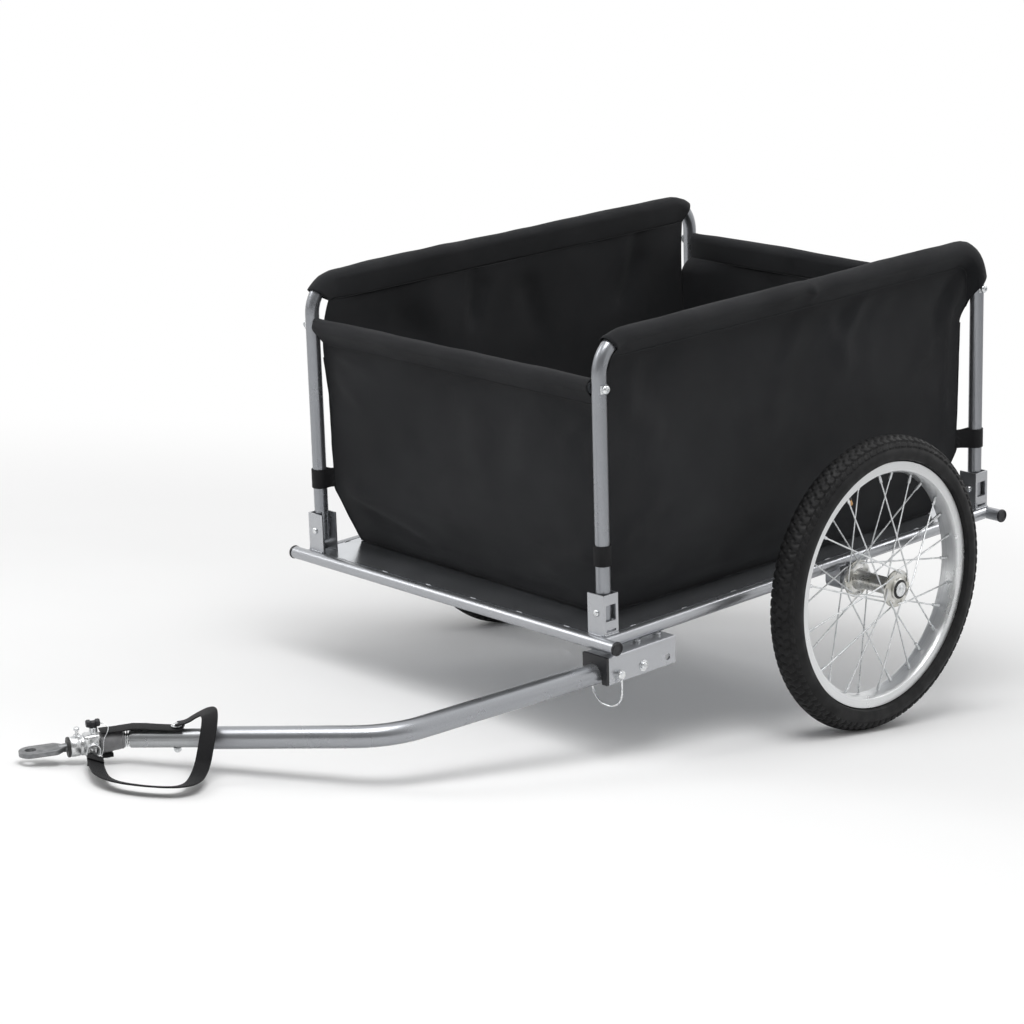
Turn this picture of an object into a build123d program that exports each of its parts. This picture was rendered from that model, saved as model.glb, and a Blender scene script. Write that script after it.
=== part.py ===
from build123d import *
import os
from math import asin, atan2, cos, degrees, hypot, pi, radians, sin, tan

# A two-wheeled cargo trailer for a bicycle: a tube frame with a sheet floor, a
# fabric box hung on two folding side frames, and a bent tow bar with a flexible
# coupling.  Millimetres.
#
# The pieces are drawn with the frame level and the middle of the axle line at
# the zero point: X to the trailer's left, -Y forwards, Z up.  At the end all of
# them are pitched nose-down until the hitch eye rests on the floor, which is how
# the trailer parks, and moved so that the zero point is the middle of the
# assembly's footprint on the floor.

# ---- driving dimensions -------------------------------------------------------

SEAT_GAP = 0.3                # between a soft or loose piece and what carries it
HOLE_GAP = 0.1                # radial, between a bolt or pin and its hole
WELD_GAP = 0.05               # left for the weld where one tube is shaped to another

# wheels
TRACK = 654.0                 # between the middles of the tyres
TYRE_RADIUS = 190.0
TYRE_WIDTH = 42.0
TYRE_WALL = 3.5
RIM_RADIUS = 158.5            # outside of the rim's flanges
RIM_WIDTH = 28.0
RIM_FLANGE = 1.8              # thickness of a flange
RIM_HEIGHT = 15.0
RIM_WELL = 9.0                # depth of the tyre's seat
RIM_BED_HALF = 7.0            # half width of the channel between the seats
RIM_BED_DROP = 2.5            # its depth below the seats
RIM_BACK_HALF = 8.4           # half width of the flat facing the hub
RIM_BACK_DROP = 3.0           # height of the slopes beside that flat
SPOKE_COUNT = 28
SPOKE_DIAMETER = 2.0
SPOKE_CROSSINGS = 3
SPOKE_GAP = 0.15              # between a spoke and the face it lies on
SPOKE_ON_FLANGE = 16.0        # run of an outer spoke before it leans in to the rim
SPOKE_KNEE_RADIUS = 20.0
SPOKE_OFFSET_AT_RIM = 2.5     # either side of the rim's middle
NIPPLE_CLEARANCE = 0.8        # nipple's end to the rim
NIPPLE_DIAMETER = 4.0
NIPPLE_LENGTH = 11.0
HUB_FLANGE_DIAMETER = 48.0
HUB_FLANGE_THICKNESS = 3.0
HUB_FLANGE_SPACING = 64.0
HUB_HOLE_CIRCLE = 40.0
HUB_BARREL_DIAMETER = 22.0
HUB_END_DIAMETER = 27.0
HUB_LENGTH = 76.0
AXLE_DIAMETER = 12.0
AXLE_RUNNING_CLEARANCE = 0.05  # radial
AXLE_HEAD_DIAMETER = 18.0
AXLE_HEAD_THICKNESS = 3.0
AXLE_SIDE_GAP = 0.5            # hub to axle head and to the axle's spacer
AXLE_TAIL = 7.0                # past the bracket's inner face
AXLE_SPACER_DIAMETER = 20.0

# base frame
FRAME_TUBE = 16.0
FRAME_WALL = 1.5
FRAME_RISE = 16.0             # tube centres above the axle line
FRAME_FRONT = 433.0           # axle line to the front cross tube
FRAME_REAR = 295.0            # axle line to the rear cross tube
SIDE_TUBE_OFFSET = 268.0      # middle plane to a side tube
CROSS_TUBE_HALF = 293.0       # half the length of the front and rear cross tubes
CAP_THICKNESS = 4.0
CAP_DIAMETER = 17.4
CAP_PLUG = 14.0
FLOOR_THICKNESS = 1.2
FLOOR_BELOW_TOP = 1.4         # sheet's top under the tops of the tubes
FLOOR_MEMBER_TUBE = 14.0      # tube across the middle, under the sheet
AXLE_BRACKET_LENGTH = 32.0    # along the trailer
AXLE_BRACKET_WIDTH = 24.0     # across it
AXLE_BRACKET_DROP = 16.0      # below the axle line
AXLE_BRACKET_RADIUS = 9.5     # of its lower corners

# side frames, their brackets and the crossbars
POST_TUBE = 18.0
POST_WALL = 1.5
POST_OFFSET = 257.0           # middle plane to a side frame
POST_FROM_FRONT = 17.0        # front cross tube to the front posts
POST_FROM_REAR = 11.0         # rear cross tube to the rear posts
POST_FOOT = 39.0              # foot of a post above the axle line
RAIL_HEIGHT = 378.0           # centre of the top rail above the axle line
RAIL_BEND_RADIUS = 42.0
BRACKET_HEIGHT = 50.0
BRACKET_WALL = 2.0
BRACKET_INNER = 20.4          # between its two plates
BRACKET_REACH = 27.0          # inner edge of the plates to the web's outer face
BRACKET_WEB_GAP = 1.2         # post to web
BRACKET_WINDOW_HEIGHT = 20.0
BRACKET_WINDOW_RISE = 17.0
BRACKET_SLOT_RISE = 3.5
BRACKET_SLOT_HEIGHT = 3.0
PIVOT_BOLT = 5.0
PIVOT_HEIGHT = 51.0           # above the axle line
SMALL_NUT = 8.0               # across its flats
LARGE_NUT = 10.0
NUT_HEIGHT = 4.0
THREAD_PAST_NUT = 2.0
BOLT_HEAD_DIAMETER = 8.5
BOLT_HEAD_HEIGHT = 3.0
CROSSBAR_TUBE = 16.0
CROSSBAR_BELOW_RAIL = 56.0    # crossbar centres below the rails' centres
CROSSBAR_SCREW = 5.0
CROSSBAR_SCREW_HEAD = 11.0
SCREW_HEAD_THICKNESS = 4.0
CROSSBAR_PLUG = 18.0          # threaded plug in each end of a crossbar
SADDLE_THICKNESS = 2.0        # washer between a screw head and a post

# fabric box
FABRIC_THICKNESS = 2.0
FABRIC_BOTTOM_THICKNESS = 1.2
HEM_THICKNESS = 1.8
FABRIC_SEAM = 0.6             # gap between neighbouring walls
FABRIC_FOLD_HEIGHT = 105.0    # where the walls turn in to the floor
FABRIC_SHOULDER_DROP = 22.0   # crossbars to the tops of the corner seams
# the box's outline at its levels: half width, insets from the front posts and from
# the rear posts, and chamfer of its corners
BOX_ON_FLOOR = (228.0, 59.0, 59.0, 8.0)
BOX_AT_FOLD = (244.0, 15.0, 24.0, 6.0)
BOX_AT_SHOULDER = (249.0, 12.0, 26.0, 6.0)
BOX_AT_CROSSBARS = (250.5, 9.5, 9.5, 14.0)
BOX_AT_RAILS = (252.0, 6.5, 6.5, 14.0)
# how far each side hem follows its rail's front and rear bends down, in degrees
SIDE_HEM_WRAPS = {"left": (35.0, 78.0), "right": (53.0, 42.0)}
SIDE_HEM_TAIL = 2.0           # straight end of a side hem
CROSS_HEM_GAP = 10.5          # post to the end of a front or rear hem
TAB_HEIGHT = 25.0
TAB_MIDDLE = 120.0
TAB_THICKNESS = 1.5
TAB_STOP = 1.2                # its end short of the middle of the box's corner

# tow bar and its bracket
TOWBAR_TUBE = 26.0
TOWBAR_WALL = 2.0
TOWBAR_DROP = 19.0            # its centre below the axle line
TOWBAR_PIVOT_FORWARD = 382.0  # axle line to the pivot bolt
TOWBAR_PIVOT_SHIFT = 2.0      # pivot's middle outwards from the side tube
TOWBAR_TAIL = 17.0            # pivot bolt to the tube's rear end
TOWBAR_REAR_HEADING = 4.0     # degrees inwards from straight ahead
TOWBAR_REAR_RUN = 364.0       # pivot bolt to the corner of the bend
TOWBAR_FRONT_HEADING = 47.0
TOWBAR_FRONT_RUN = 204.0      # corner of the bend to the tube's front end
TOWBAR_BEND_RADIUS = 110.0
SLEEVE_FIT = 0.2              # radial, the coupling's inner tube in the tow bar's bore
SLEEVE_WALL = 2.0
SLEEVE_OVERLAP = 40.0
SLEEVE_PROJECTION = 90.0
CHANNEL_LENGTH = 113.0
CHANNEL_WIDTH = 40.0
CHANNEL_HEIGHT = 34.0
CHANNEL_WALL = 2.5
CHANNEL_TOP = 3.0             # its top below the side tube
CHANNEL_REAR = 327.0          # axle line to its rear end
LINER_SLOT_INSET = 1.5        # its slot under the tow bar, narrower than the bar on each side
LINER_LENGTH = 30.0
LINER_LIP = 4.0
CHANNEL_BOLTS_FORWARD = (373.0, 338.0)
CHANNEL_BOLT = 6.0
CHANNEL_BOLT_HEAD = 3.0
CHANNEL_SPACER = 11.0
PIN_SPACING = 42.0            # pivot bolt to the pull pin, and to the empty hole
PULL_PIN = 8.0
PULL_PIN_HEAD = 11.0
PULL_PIN_HEAD_LENGTH = 7.0
BAIL_WIRE = 2.2
BAIL_WIDTH = 50.0
BAIL_DROP = 44.0
BAIL_RADIUS = 23.0            # of its two lower corners
TOWBAR_BOLT = 6.0

# coupling, along its own axis from the end of the tow bar's sleeve
COUPLING_HEADING = 24.7       # degrees inwards from straight ahead
COIL_WIRE = 1.7
COIL_TURNS = 3
COIL_DIAMETER = 19.0
BOOT_START = 9.4
BOOT_LENGTH = 27.0
BOOT_DIAMETERS = (20.5, 25.0)
BOOT_CORE = 13.0              # stem through the coil and into the sleeve
KNUCKLE_LENGTH = 18.0
KNUCKLE_HEIGHT = 25.0
KNUCKLE_WIDTH = 18.0
KNOB_FROM_BOOT = 6.3          # boot's end to the knob pin
BARREL_LENGTH = 16.0
BARREL_DIAMETER = 23.0
BARREL_RING = 3.0
BARREL_FLOOR = 2.0            # closed end of the barrel's bore
SHANK_DIAMETER = 10.0
SHANK_LENGTH = 12.0
EYE_REACH = 114.5             # start of the coupling to the eye's centre
EYE_WIDTH = 27.0
EYE_THICKNESS = 6.0
EYE_HOLE = 12.5
EYE_NECK = 2.0                # from the ring to the start of the flat
EYE_SHOULDER = 9.0            # length over which the flat widens
KNOB_PIN = 6.0
KNOB_RISE = 20.0              # underside of the knob above the coupling's axis
KNOB_LENGTH = 16.0
KNOB_HEIGHT = 9.0
KNOB_WIDTH = 9.0
KNOB_COLLAR = 10.0
RETAINER_PIN = 4.0
RETAINER_RISE = 22.0
RETAINER_FROM_BARREL = 7.2    # barrel's start to the pin
RETAINER_TIP = 1.0            # pin's tip above the shank
RETAINER_HEAD = 7.0
RETAINER_HEAD_HEIGHT = 3.0
STRAP_BOLT = 5.0
STRAP_BOLT_FROM_END = 52.0    # from the sleeve's front end, backwards
TONGUE_THICKNESS = 2.0
TONGUE_ON_BOOT = 4.0          # how far it reaches over the boot
TONGUE_PAST_BOLT = 8.0
STRAP_WIDTH = 20.0            # webbing; its plain tube has this diameter
# corners of the parked trailer's strap: back along the tow bar from the strap bolt,
# out to the side, and up from the floor
STRAP_CORNERS = ((18, -10, 63), (34, 32, 64), (34, 44, 11), (30, 148, 11), (-58, 138, 11), (-84, 42, 13))
RING_WIRE = 3.0
RING_RADIUS = 7.0
RING_DROP = 5.0               # its centre below the coupling's axis

# ---- derived places -----------------------------------------------------------

WHEEL_X = TRACK / 2
POST_FRONT_Y = -(FRAME_FRONT - POST_FROM_FRONT)
POST_REAR_Y = FRAME_REAR - POST_FROM_REAR
FRAME_TOP = FRAME_RISE + FRAME_TUBE / 2
FRAME_BOTTOM = FRAME_RISE - FRAME_TUBE / 2
FLOOR_TOP = FRAME_TOP - FLOOR_BELOW_TOP
CROSSBAR_HEIGHT = RAIL_HEIGHT - CROSSBAR_BELOW_RAIL
SLEEVE_TUBE = TOWBAR_TUBE - 2 * TOWBAR_WALL - 2 * SLEEVE_FIT
FLOOR_MEMBER_Z = FLOOR_TOP - FLOOR_THICKNESS - FLOOR_MEMBER_TUBE / 2
SIDES = {"left": 1, "right": -1}
ENDS = {"front": POST_FRONT_Y, "rear": POST_REAR_Y}
SEAM_TOP = CROSSBAR_HEIGHT - FABRIC_SHOULDER_DROP
BOX_LEVELS = {FLOOR_TOP + SEAT_GAP: BOX_ON_FLOOR, FABRIC_FOLD_HEIGHT: BOX_AT_FOLD, SEAM_TOP: BOX_AT_SHOULDER,
              CROSSBAR_HEIGHT: BOX_AT_CROSSBARS, RAIL_HEIGHT: BOX_AT_RAILS}


def along(heading, distance):
    """Steps forwards and inwards at a heading, in the plane of the tow bar."""
    angle = radians(heading)
    return Vector(-sin(angle) * distance, -cos(angle) * distance, 0)


PIVOT = Vector(SIDE_TUBE_OFFSET + TOWBAR_PIVOT_SHIFT, -TOWBAR_PIVOT_FORWARD, -TOWBAR_DROP)
BEND = PIVOT + along(TOWBAR_REAR_HEADING, TOWBAR_REAR_RUN)
TOWBAR_END = BEND + along(TOWBAR_FRONT_HEADING, TOWBAR_FRONT_RUN)
COUPLING_START = TOWBAR_END + along(TOWBAR_FRONT_HEADING, SLEEVE_PROJECTION)
EYE_CENTRE = COUPLING_START + along(COUPLING_HEADING, EYE_REACH)
STRAP_BOLT_AT = COUPLING_START - along(TOWBAR_FRONT_HEADING, STRAP_BOLT_FROM_END)


def park_pitch():
    """The nose-down pitch, in degrees, at which the eye's edge is as low as the tyres."""
    reach = hypot(EYE_CENTRE.Y, EYE_CENTRE.Z)
    pitch = 0.0
    for _ in range(6):
        lean = asin(sin(radians(COUPLING_HEADING)) * sin(pitch))
        eye_edge = EYE_WIDTH / 2 * cos(lean) + EYE_THICKNESS / 2 * sin(lean)
        pitch = atan2(EYE_CENTRE.Z, -EYE_CENTRE.Y) + asin((TYRE_RADIUS - eye_edge) / reach)
    return degrees(pitch)


PARK_PITCH = park_pitch()

nodes = {}


def add(name, *solids):
    """Stores the solids of one node."""
    nodes[name] = Compound(list(solids)) if len(solids) > 1 else solids[0]


# ---- basic shapes -------------------------------------------------------------

def rod(start, end, diameter):
    start, end = Vector(*start), Vector(*end)
    axis = end - start
    return extrude(Plane(start, z_dir=axis) * Circle(diameter / 2), amount=axis.length)


def pipe(start, end, diameter, wall):
    return rod(start, end, diameter) - rod(start, end, diameter - 2 * wall)


def ring_of(profile):
    """Turns a profile drawn in the XZ plane about the X axis."""
    return revolve(Plane.XZ * profile, Axis.X)


def hexagon(start, direction, across_flats, height):
    plane = Plane(Vector(*start), z_dir=Vector(*direction))
    return extrude(plane * RegularPolygon(across_flats / 2, 6, major_radius=False), amount=height)


# ---- base frame ---------------------------------------------------------------

def make_base_frame():
    cross_y = {"front": -FRAME_FRONT, "rear": FRAME_REAR}
    cross_tubes = {}
    for end, y in cross_y.items():
        left, right = (CROSS_TUBE_HALF, y, FRAME_RISE), (-CROSS_TUBE_HALF, y, FRAME_RISE)
        cross_tubes[end] = rod(right, left, FRAME_TUBE + 2 * WELD_GAP)
        add(f"{end}_cross_tube", pipe(right, left, FRAME_TUBE, FRAME_WALL))
    for side, sign in SIDES.items():
        x = sign * SIDE_TUBE_OFFSET
        side_tube = pipe((x, -FRAME_FRONT, FRAME_RISE), (x, FRAME_REAR, FRAME_RISE), FRAME_TUBE, FRAME_WALL)
        for bolt_y in CHANNEL_BOLTS_FORWARD if side == "left" else ():
            side_tube -= rod((x, -bolt_y, 0), (x, -bolt_y, FRAME_RISE), CHANNEL_BOLT + 2 * HOLE_GAP)
        add(f"{side}_side_tube", side_tube - cross_tubes["front"] - cross_tubes["rear"])
    member = pipe((-SIDE_TUBE_OFFSET, 0, FLOOR_MEMBER_Z), (SIDE_TUBE_OFFSET, 0, FLOOR_MEMBER_Z),
                  FLOOR_MEMBER_TUBE, FRAME_WALL)
    for sign in SIDES.values():
        x = sign * SIDE_TUBE_OFFSET
        member -= rod((x, -FRAME_TUBE, FRAME_RISE), (x, FRAME_TUBE, FRAME_RISE), FRAME_TUBE + 2 * WELD_GAP)
    add("floor_cross_member", max(member.solids(), key=lambda s: s.volume))
    caps = []
    for y in cross_y.values():
        for sign in SIDES.values():
            face = sign * CROSS_TUBE_HALF
            cap = rod((face, y, FRAME_RISE), (face + sign * CAP_THICKNESS, y, FRAME_RISE), CAP_DIAMETER)
            plug = rod((face - sign * CAP_PLUG, y, FRAME_RISE), (face, y, FRAME_RISE),
                       FRAME_TUBE - 2 * FRAME_WALL)
            caps.append(cap + plug)
    add("tube_end_caps", *caps)


def make_floor_sheet():
    """A flat sheet laid between the tubes, its edges against their inner sides."""
    sheet_middle = FLOOR_TOP - FLOOR_THICKNESS - FRAME_RISE
    tube_half = ((FRAME_TUBE / 2) ** 2 - sheet_middle ** 2) ** 0.5
    half = SIDE_TUBE_OFFSET - tube_half - SEAT_GAP
    front = -FRAME_FRONT + tube_half + SEAT_GAP
    rear = FRAME_REAR - tube_half - SEAT_GAP
    sheet = Pos(0, (front + rear) / 2, FLOOR_TOP - FLOOR_THICKNESS / 2) * Box(
        2 * half, rear - front, FLOOR_THICKNESS)
    add("floor_sheet", sheet)


# ---- side frames, brackets, crossbars -----------------------------------------

def along_side_frame(x, section):
    """A section swept along a side frame, from foot to foot."""
    path = FilletPolyline(
        (x, POST_FRONT_Y, POST_FOOT), (x, POST_FRONT_Y, RAIL_HEIGHT),
        (x, POST_REAR_Y, RAIL_HEIGHT), (x, POST_REAR_Y, POST_FOOT),
        radius=RAIL_BEND_RADIUS)
    return sweep(Plane(path @ 0, z_dir=path % 0) * section, path=path)


def make_side_frames():
    tube_hole = PIVOT_BOLT + 2 * HOLE_GAP
    screw_hole = CROSSBAR_SCREW + 2 * HOLE_GAP
    for side, sign in SIDES.items():
        x = sign * POST_OFFSET
        frame = along_side_frame(x, Circle(POST_TUBE / 2) - Circle(POST_TUBE / 2 - POST_WALL))
        for y in ENDS.values():
            frame -= rod((x, y - POST_TUBE, PIVOT_HEIGHT), (x, y + POST_TUBE, PIVOT_HEIGHT), tube_hole)
            frame -= rod((x - POST_TUBE, y, CROSSBAR_HEIGHT), (x + POST_TUBE, y, CROSSBAR_HEIGHT), screw_hole)
        add(f"{side}_side_frame", frame)


def make_post_brackets():
    bolts = []
    plate_half = BRACKET_INNER / 2 + BRACKET_WALL
    web_outer = POST_OFFSET + POST_TUBE / 2 + BRACKET_WEB_GAP + BRACKET_WALL
    top = FRAME_TOP + BRACKET_HEIGHT
    for end, y in ENDS.items():
        for side, sign in SIDES.items():
            middle_z = (FRAME_RISE + top) / 2
            outer = Box(BRACKET_REACH, 2 * plate_half, top - FRAME_RISE)
            hollow = Box(BRACKET_REACH, BRACKET_INNER, top - FRAME_RISE)
            bracket = Pos(sign * (web_outer - BRACKET_REACH / 2), y, middle_z) * outer
            bracket -= Pos(sign * (web_outer - BRACKET_WALL - BRACKET_REACH / 2), y, middle_z) * hollow
            window_z = FRAME_TOP + BRACKET_WINDOW_RISE + BRACKET_WINDOW_HEIGHT / 2
            bracket -= Pos(sign * web_outer, y, window_z) * Box(
                4 * BRACKET_WALL, BRACKET_INNER - 4, BRACKET_WINDOW_HEIGHT)
            slot_z = FRAME_TOP + BRACKET_SLOT_RISE + BRACKET_SLOT_HEIGHT / 2
            bracket -= Pos(sign * web_outer, y, slot_z) * Box(
                4 * BRACKET_WALL, BRACKET_INNER - 4, BRACKET_SLOT_HEIGHT)
            x = sign * POST_OFFSET
            bracket -= rod((x, y - 2 * plate_half, PIVOT_HEIGHT), (x, y + 2 * plate_half, PIVOT_HEIGHT),
                           PIVOT_BOLT + 2 * HOLE_GAP)
            bracket -= rod((sign * SIDE_TUBE_OFFSET, y - 2 * plate_half, FRAME_RISE),
                           (sign * SIDE_TUBE_OFFSET, y + 2 * plate_half, FRAME_RISE),
                           FRAME_TUBE + 2 * WELD_GAP)
            over_floor = FLOOR_TOP + 2 * SEAT_GAP - FRAME_RISE
            bracket -= Pos(0, 0, (FRAME_RISE + FLOOR_TOP) / 2) * Box(
                2 * SIDE_TUBE_OFFSET - FRAME_TUBE / 2, 4 * FRAME_FRONT, over_floor)
            cross_y = -FRAME_FRONT if end == "front" else FRAME_REAR
            bracket -= rod((-CROSS_TUBE_HALF, cross_y, FRAME_RISE), (CROSS_TUBE_HALF, cross_y, FRAME_RISE),
                           FRAME_TUBE + 2 * WELD_GAP)
            add(f"{end}_{side}_post_bracket", max(bracket.solids(), key=lambda s: s.volume))
            head_face, nut_face = y - plate_half, y + plate_half
            shank_end = nut_face + NUT_HEIGHT + THREAD_PAST_NUT
            shank = rod((x, head_face, PIVOT_HEIGHT), (x, shank_end, PIVOT_HEIGHT), PIVOT_BOLT)
            head = rod((x, head_face, PIVOT_HEIGHT), (x, head_face - BOLT_HEAD_HEIGHT, PIVOT_HEIGHT),
                       BOLT_HEAD_DIAMETER)
            nut = hexagon((x, nut_face, PIVOT_HEIGHT), (0, 1, 0), SMALL_NUT, NUT_HEIGHT)
            bolts.append(shank + head + nut)
    add("post_pivot_bolts", *bolts)


def make_crossbars():
    bar_end = POST_OFFSET - POST_TUBE / 2 - SEAT_GAP
    head_seat = POST_OFFSET + POST_TUBE / 2 + SADDLE_THICKNESS
    for end, y in ENDS.items():
        screws = []
        bar = pipe((-bar_end, y, CROSSBAR_HEIGHT), (bar_end, y, CROSSBAR_HEIGHT), CROSSBAR_TUBE, FRAME_WALL)
        for sign in SIDES.values():
            plug_start = (sign * (bar_end - CROSSBAR_PLUG), y, CROSSBAR_HEIGHT)
            plug_end = (sign * bar_end, y, CROSSBAR_HEIGHT)
            bar += rod(plug_start, plug_end, CROSSBAR_TUBE - FRAME_WALL)
            bar -= rod(plug_start, plug_end, CROSSBAR_SCREW + 2 * HOLE_GAP)
            seat = (sign * head_seat, y, CROSSBAR_HEIGHT)
            head_end = (sign * (head_seat + SCREW_HEAD_THICKNESS), y, CROSSBAR_HEIGHT)
            saddle = rod((sign * POST_OFFSET, y, CROSSBAR_HEIGHT), seat, CROSSBAR_SCREW_HEAD)
            saddle -= rod((sign * POST_OFFSET, y, CROSSBAR_HEIGHT - CROSSBAR_SCREW_HEAD),
                          (sign * POST_OFFSET, y, CROSSBAR_HEIGHT + CROSSBAR_SCREW_HEAD),
                          POST_TUBE + HOLE_GAP)
            shank_start = (sign * (bar_end - CROSSBAR_PLUG + SEAT_GAP), y, CROSSBAR_HEIGHT)
            shank = rod(shank_start, seat, CROSSBAR_SCREW)
            screws.append(saddle + shank + rod(seat, head_end, CROSSBAR_SCREW_HEAD))
        add(f"{end}_crossbar", bar)
        add(f"{end}_crossbar_screws", *screws)


# ---- wheels -------------------------------------------------------------------

def make_axle_brackets():
    hub_inner = WHEEL_X - HUB_LENGTH / 2
    hub_outer = WHEEL_X + HUB_LENGTH / 2
    inner_face = SIDE_TUBE_OFFSET - AXLE_BRACKET_WIDTH / 2
    outer_face = SIDE_TUBE_OFFSET + AXLE_BRACKET_WIDTH / 2
    for side, sign in SIDES.items():
        x = sign * SIDE_TUBE_OFFSET
        block = Pos(x, 0, (FRAME_RISE - AXLE_BRACKET_DROP) / 2) * Box(
            AXLE_BRACKET_WIDTH, AXLE_BRACKET_LENGTH, FRAME_RISE + AXLE_BRACKET_DROP)
        block = fillet(block.edges().filter_by(Axis.X).group_by(Axis.Z)[0], AXLE_BRACKET_RADIUS)
        block -= rod((x, -FRAME_FRONT, FRAME_RISE), (x, FRAME_REAR, FRAME_RISE), FRAME_TUBE + 2 * WELD_GAP)
        block -= rod((-WHEEL_X, 0, FLOOR_MEMBER_Z), (WHEEL_X, 0, FLOOR_MEMBER_Z),
                     FLOOR_MEMBER_TUBE + 2 * WELD_GAP)
        block -= rod((-2 * WHEEL_X, 0, 0), (2 * WHEEL_X, 0, 0), AXLE_DIAMETER + 2 * AXLE_RUNNING_CLEARANCE)
        add(f"{side}_axle_bracket", max(block.solids(), key=lambda s: s.volume))
        spindle = rod((sign * (inner_face - AXLE_TAIL), 0, 0),
                      (sign * (hub_outer + AXLE_SIDE_GAP), 0, 0), AXLE_DIAMETER)
        spacer = rod((sign * outer_face, 0, 0), (sign * (hub_inner - AXLE_SIDE_GAP), 0, 0),
                     AXLE_SPACER_DIAMETER)
        head_face = hub_outer + AXLE_SIDE_GAP
        head_end = head_face + AXLE_HEAD_THICKNESS
        head = rod((sign * head_face, 0, 0), (sign * head_end, 0, 0), AXLE_HEAD_DIAMETER)
        add(f"{side}_axle", spindle + spacer + head)


def tyre_section():
    middle = TYRE_RADIUS - TYRE_WIDTH / 2
    lip = RIM_RADIUS + SEAT_GAP
    casing = Pos(0, middle) * (Circle(TYRE_WIDTH / 2) - Circle(TYRE_WIDTH / 2 - TYRE_WALL))
    casing &= Pos(0, lip + TYRE_WIDTH) * Rectangle(2 * TYRE_WIDTH, 2 * TYRE_WIDTH)
    bead_outer = RIM_WIDTH / 2 - RIM_FLANGE - SEAT_GAP
    bead_inner = bead_outer - TYRE_WALL
    bead_foot = RIM_RADIUS - RIM_WELL + SEAT_GAP
    shoulder = ((TYRE_WIDTH / 2) ** 2 - (middle - lip) ** 2) ** 0.5 - HOLE_GAP
    section = casing
    for sign in (1, -1):
        section += Pos(sign * (bead_inner + bead_outer) / 2, (bead_foot + lip + TYRE_WALL) / 2) * Rectangle(
            bead_outer - bead_inner, lip + TYRE_WALL - bead_foot)
        section += Pos(sign * (bead_inner + shoulder) / 2, lip + TYRE_WALL / 2) * Rectangle(
            shoulder - bead_inner, TYRE_WALL)
    return section


def rim_section():
    half = RIM_WIDTH / 2
    bed = RIM_RADIUS - RIM_WELL
    inside = RIM_RADIUS - RIM_HEIGHT
    right_half = [(half, RIM_RADIUS), (half - RIM_FLANGE, RIM_RADIUS), (half - RIM_FLANGE, bed),
                  (RIM_BED_HALF, bed - RIM_BED_DROP)]
    back = [(RIM_BACK_HALF, inside), (half, inside + RIM_BACK_DROP)]
    mirrored = [(-x, r) for x, r in reversed(back + right_half)]
    return make_face(Polyline(*(back + right_half + mirrored), close=True))


def make_spokes(wheel_x):
    """Tangent spokes: half the set lies outside its flange, half inside."""
    per_flange = SPOKE_COUNT // 2
    pitch = 2 * pi / per_flange
    lay = HUB_FLANGE_THICKNESS / 2 + SPOKE_DIAMETER / 2 + SPOKE_GAP
    nipple_end = RIM_RADIUS - RIM_HEIGHT - NIPPLE_CLEARANCE
    spokes = []
    for flange in (1, -1):
        for number in range(per_flange):
            turn = 1 if number % 2 == 0 else -1
            hub_angle = (number + (0.5 if flange > 0 else 0)) * pitch
            rim_angle = hub_angle + turn * SPOKE_CROSSINGS * pitch
            hub_x = wheel_x + flange * HUB_FLANGE_SPACING / 2 + turn * flange * lay
            rim_x = wheel_x + flange * SPOKE_OFFSET_AT_RIM
            hub_radius = HUB_HOLE_CIRCLE / 2
            start = Vector(hub_x, hub_radius * cos(hub_angle), hub_radius * sin(hub_angle))
            end = Vector(rim_x, nipple_end * cos(rim_angle), nipple_end * sin(rim_angle))
            knee = start + Vector(0, end.Y - start.Y, end.Z - start.Z).normalized() * SPOKE_ON_FLANGE
            line = (end - (knee if turn > 0 else start)).normalized()
            inside_nipple = end - line * NIPPLE_LENGTH / 2
            if turn > 0:
                path = FilletPolyline(start, knee, inside_nipple, radius=SPOKE_KNEE_RADIUS)
                wire = sweep(Plane(path @ 0, z_dir=path % 0) * Circle(SPOKE_DIAMETER / 2), path=path)
            else:
                wire = rod(start, inside_nipple, SPOKE_DIAMETER)
            spokes.append(wire + rod(end - line * NIPPLE_LENGTH, end, NIPPLE_DIAMETER))
    return spokes


def make_wheels():
    bore = AXLE_DIAMETER + 2 * AXLE_RUNNING_CLEARANCE
    half = HUB_LENGTH / 2
    for side, sign in SIDES.items():
        x = sign * WHEEL_X
        add(f"{side}_tyre", Pos(x, 0, 0) * ring_of(tyre_section()))
        add(f"{side}_rim", Pos(x, 0, 0) * ring_of(rim_section()))
        hub = rod((x - half, 0, 0), (x + half, 0, 0), HUB_BARREL_DIAMETER)
        for flange in (1, -1):
            middle = x + flange * HUB_FLANGE_SPACING / 2
            thick = HUB_FLANGE_THICKNESS / 2
            hub += rod((middle - thick, 0, 0), (middle + thick, 0, 0), HUB_FLANGE_DIAMETER)
            hub += rod((middle, 0, 0), (x + flange * half, 0, 0), HUB_END_DIAMETER)
        hub -= rod((x - half - 1, 0, 0), (x + half + 1, 0, 0), bore)
        add(f"{side}_hub", hub)
        add(f"{side}_spokes", *make_spokes(x))


# ---- tow bar ------------------------------------------------------------------

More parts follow.
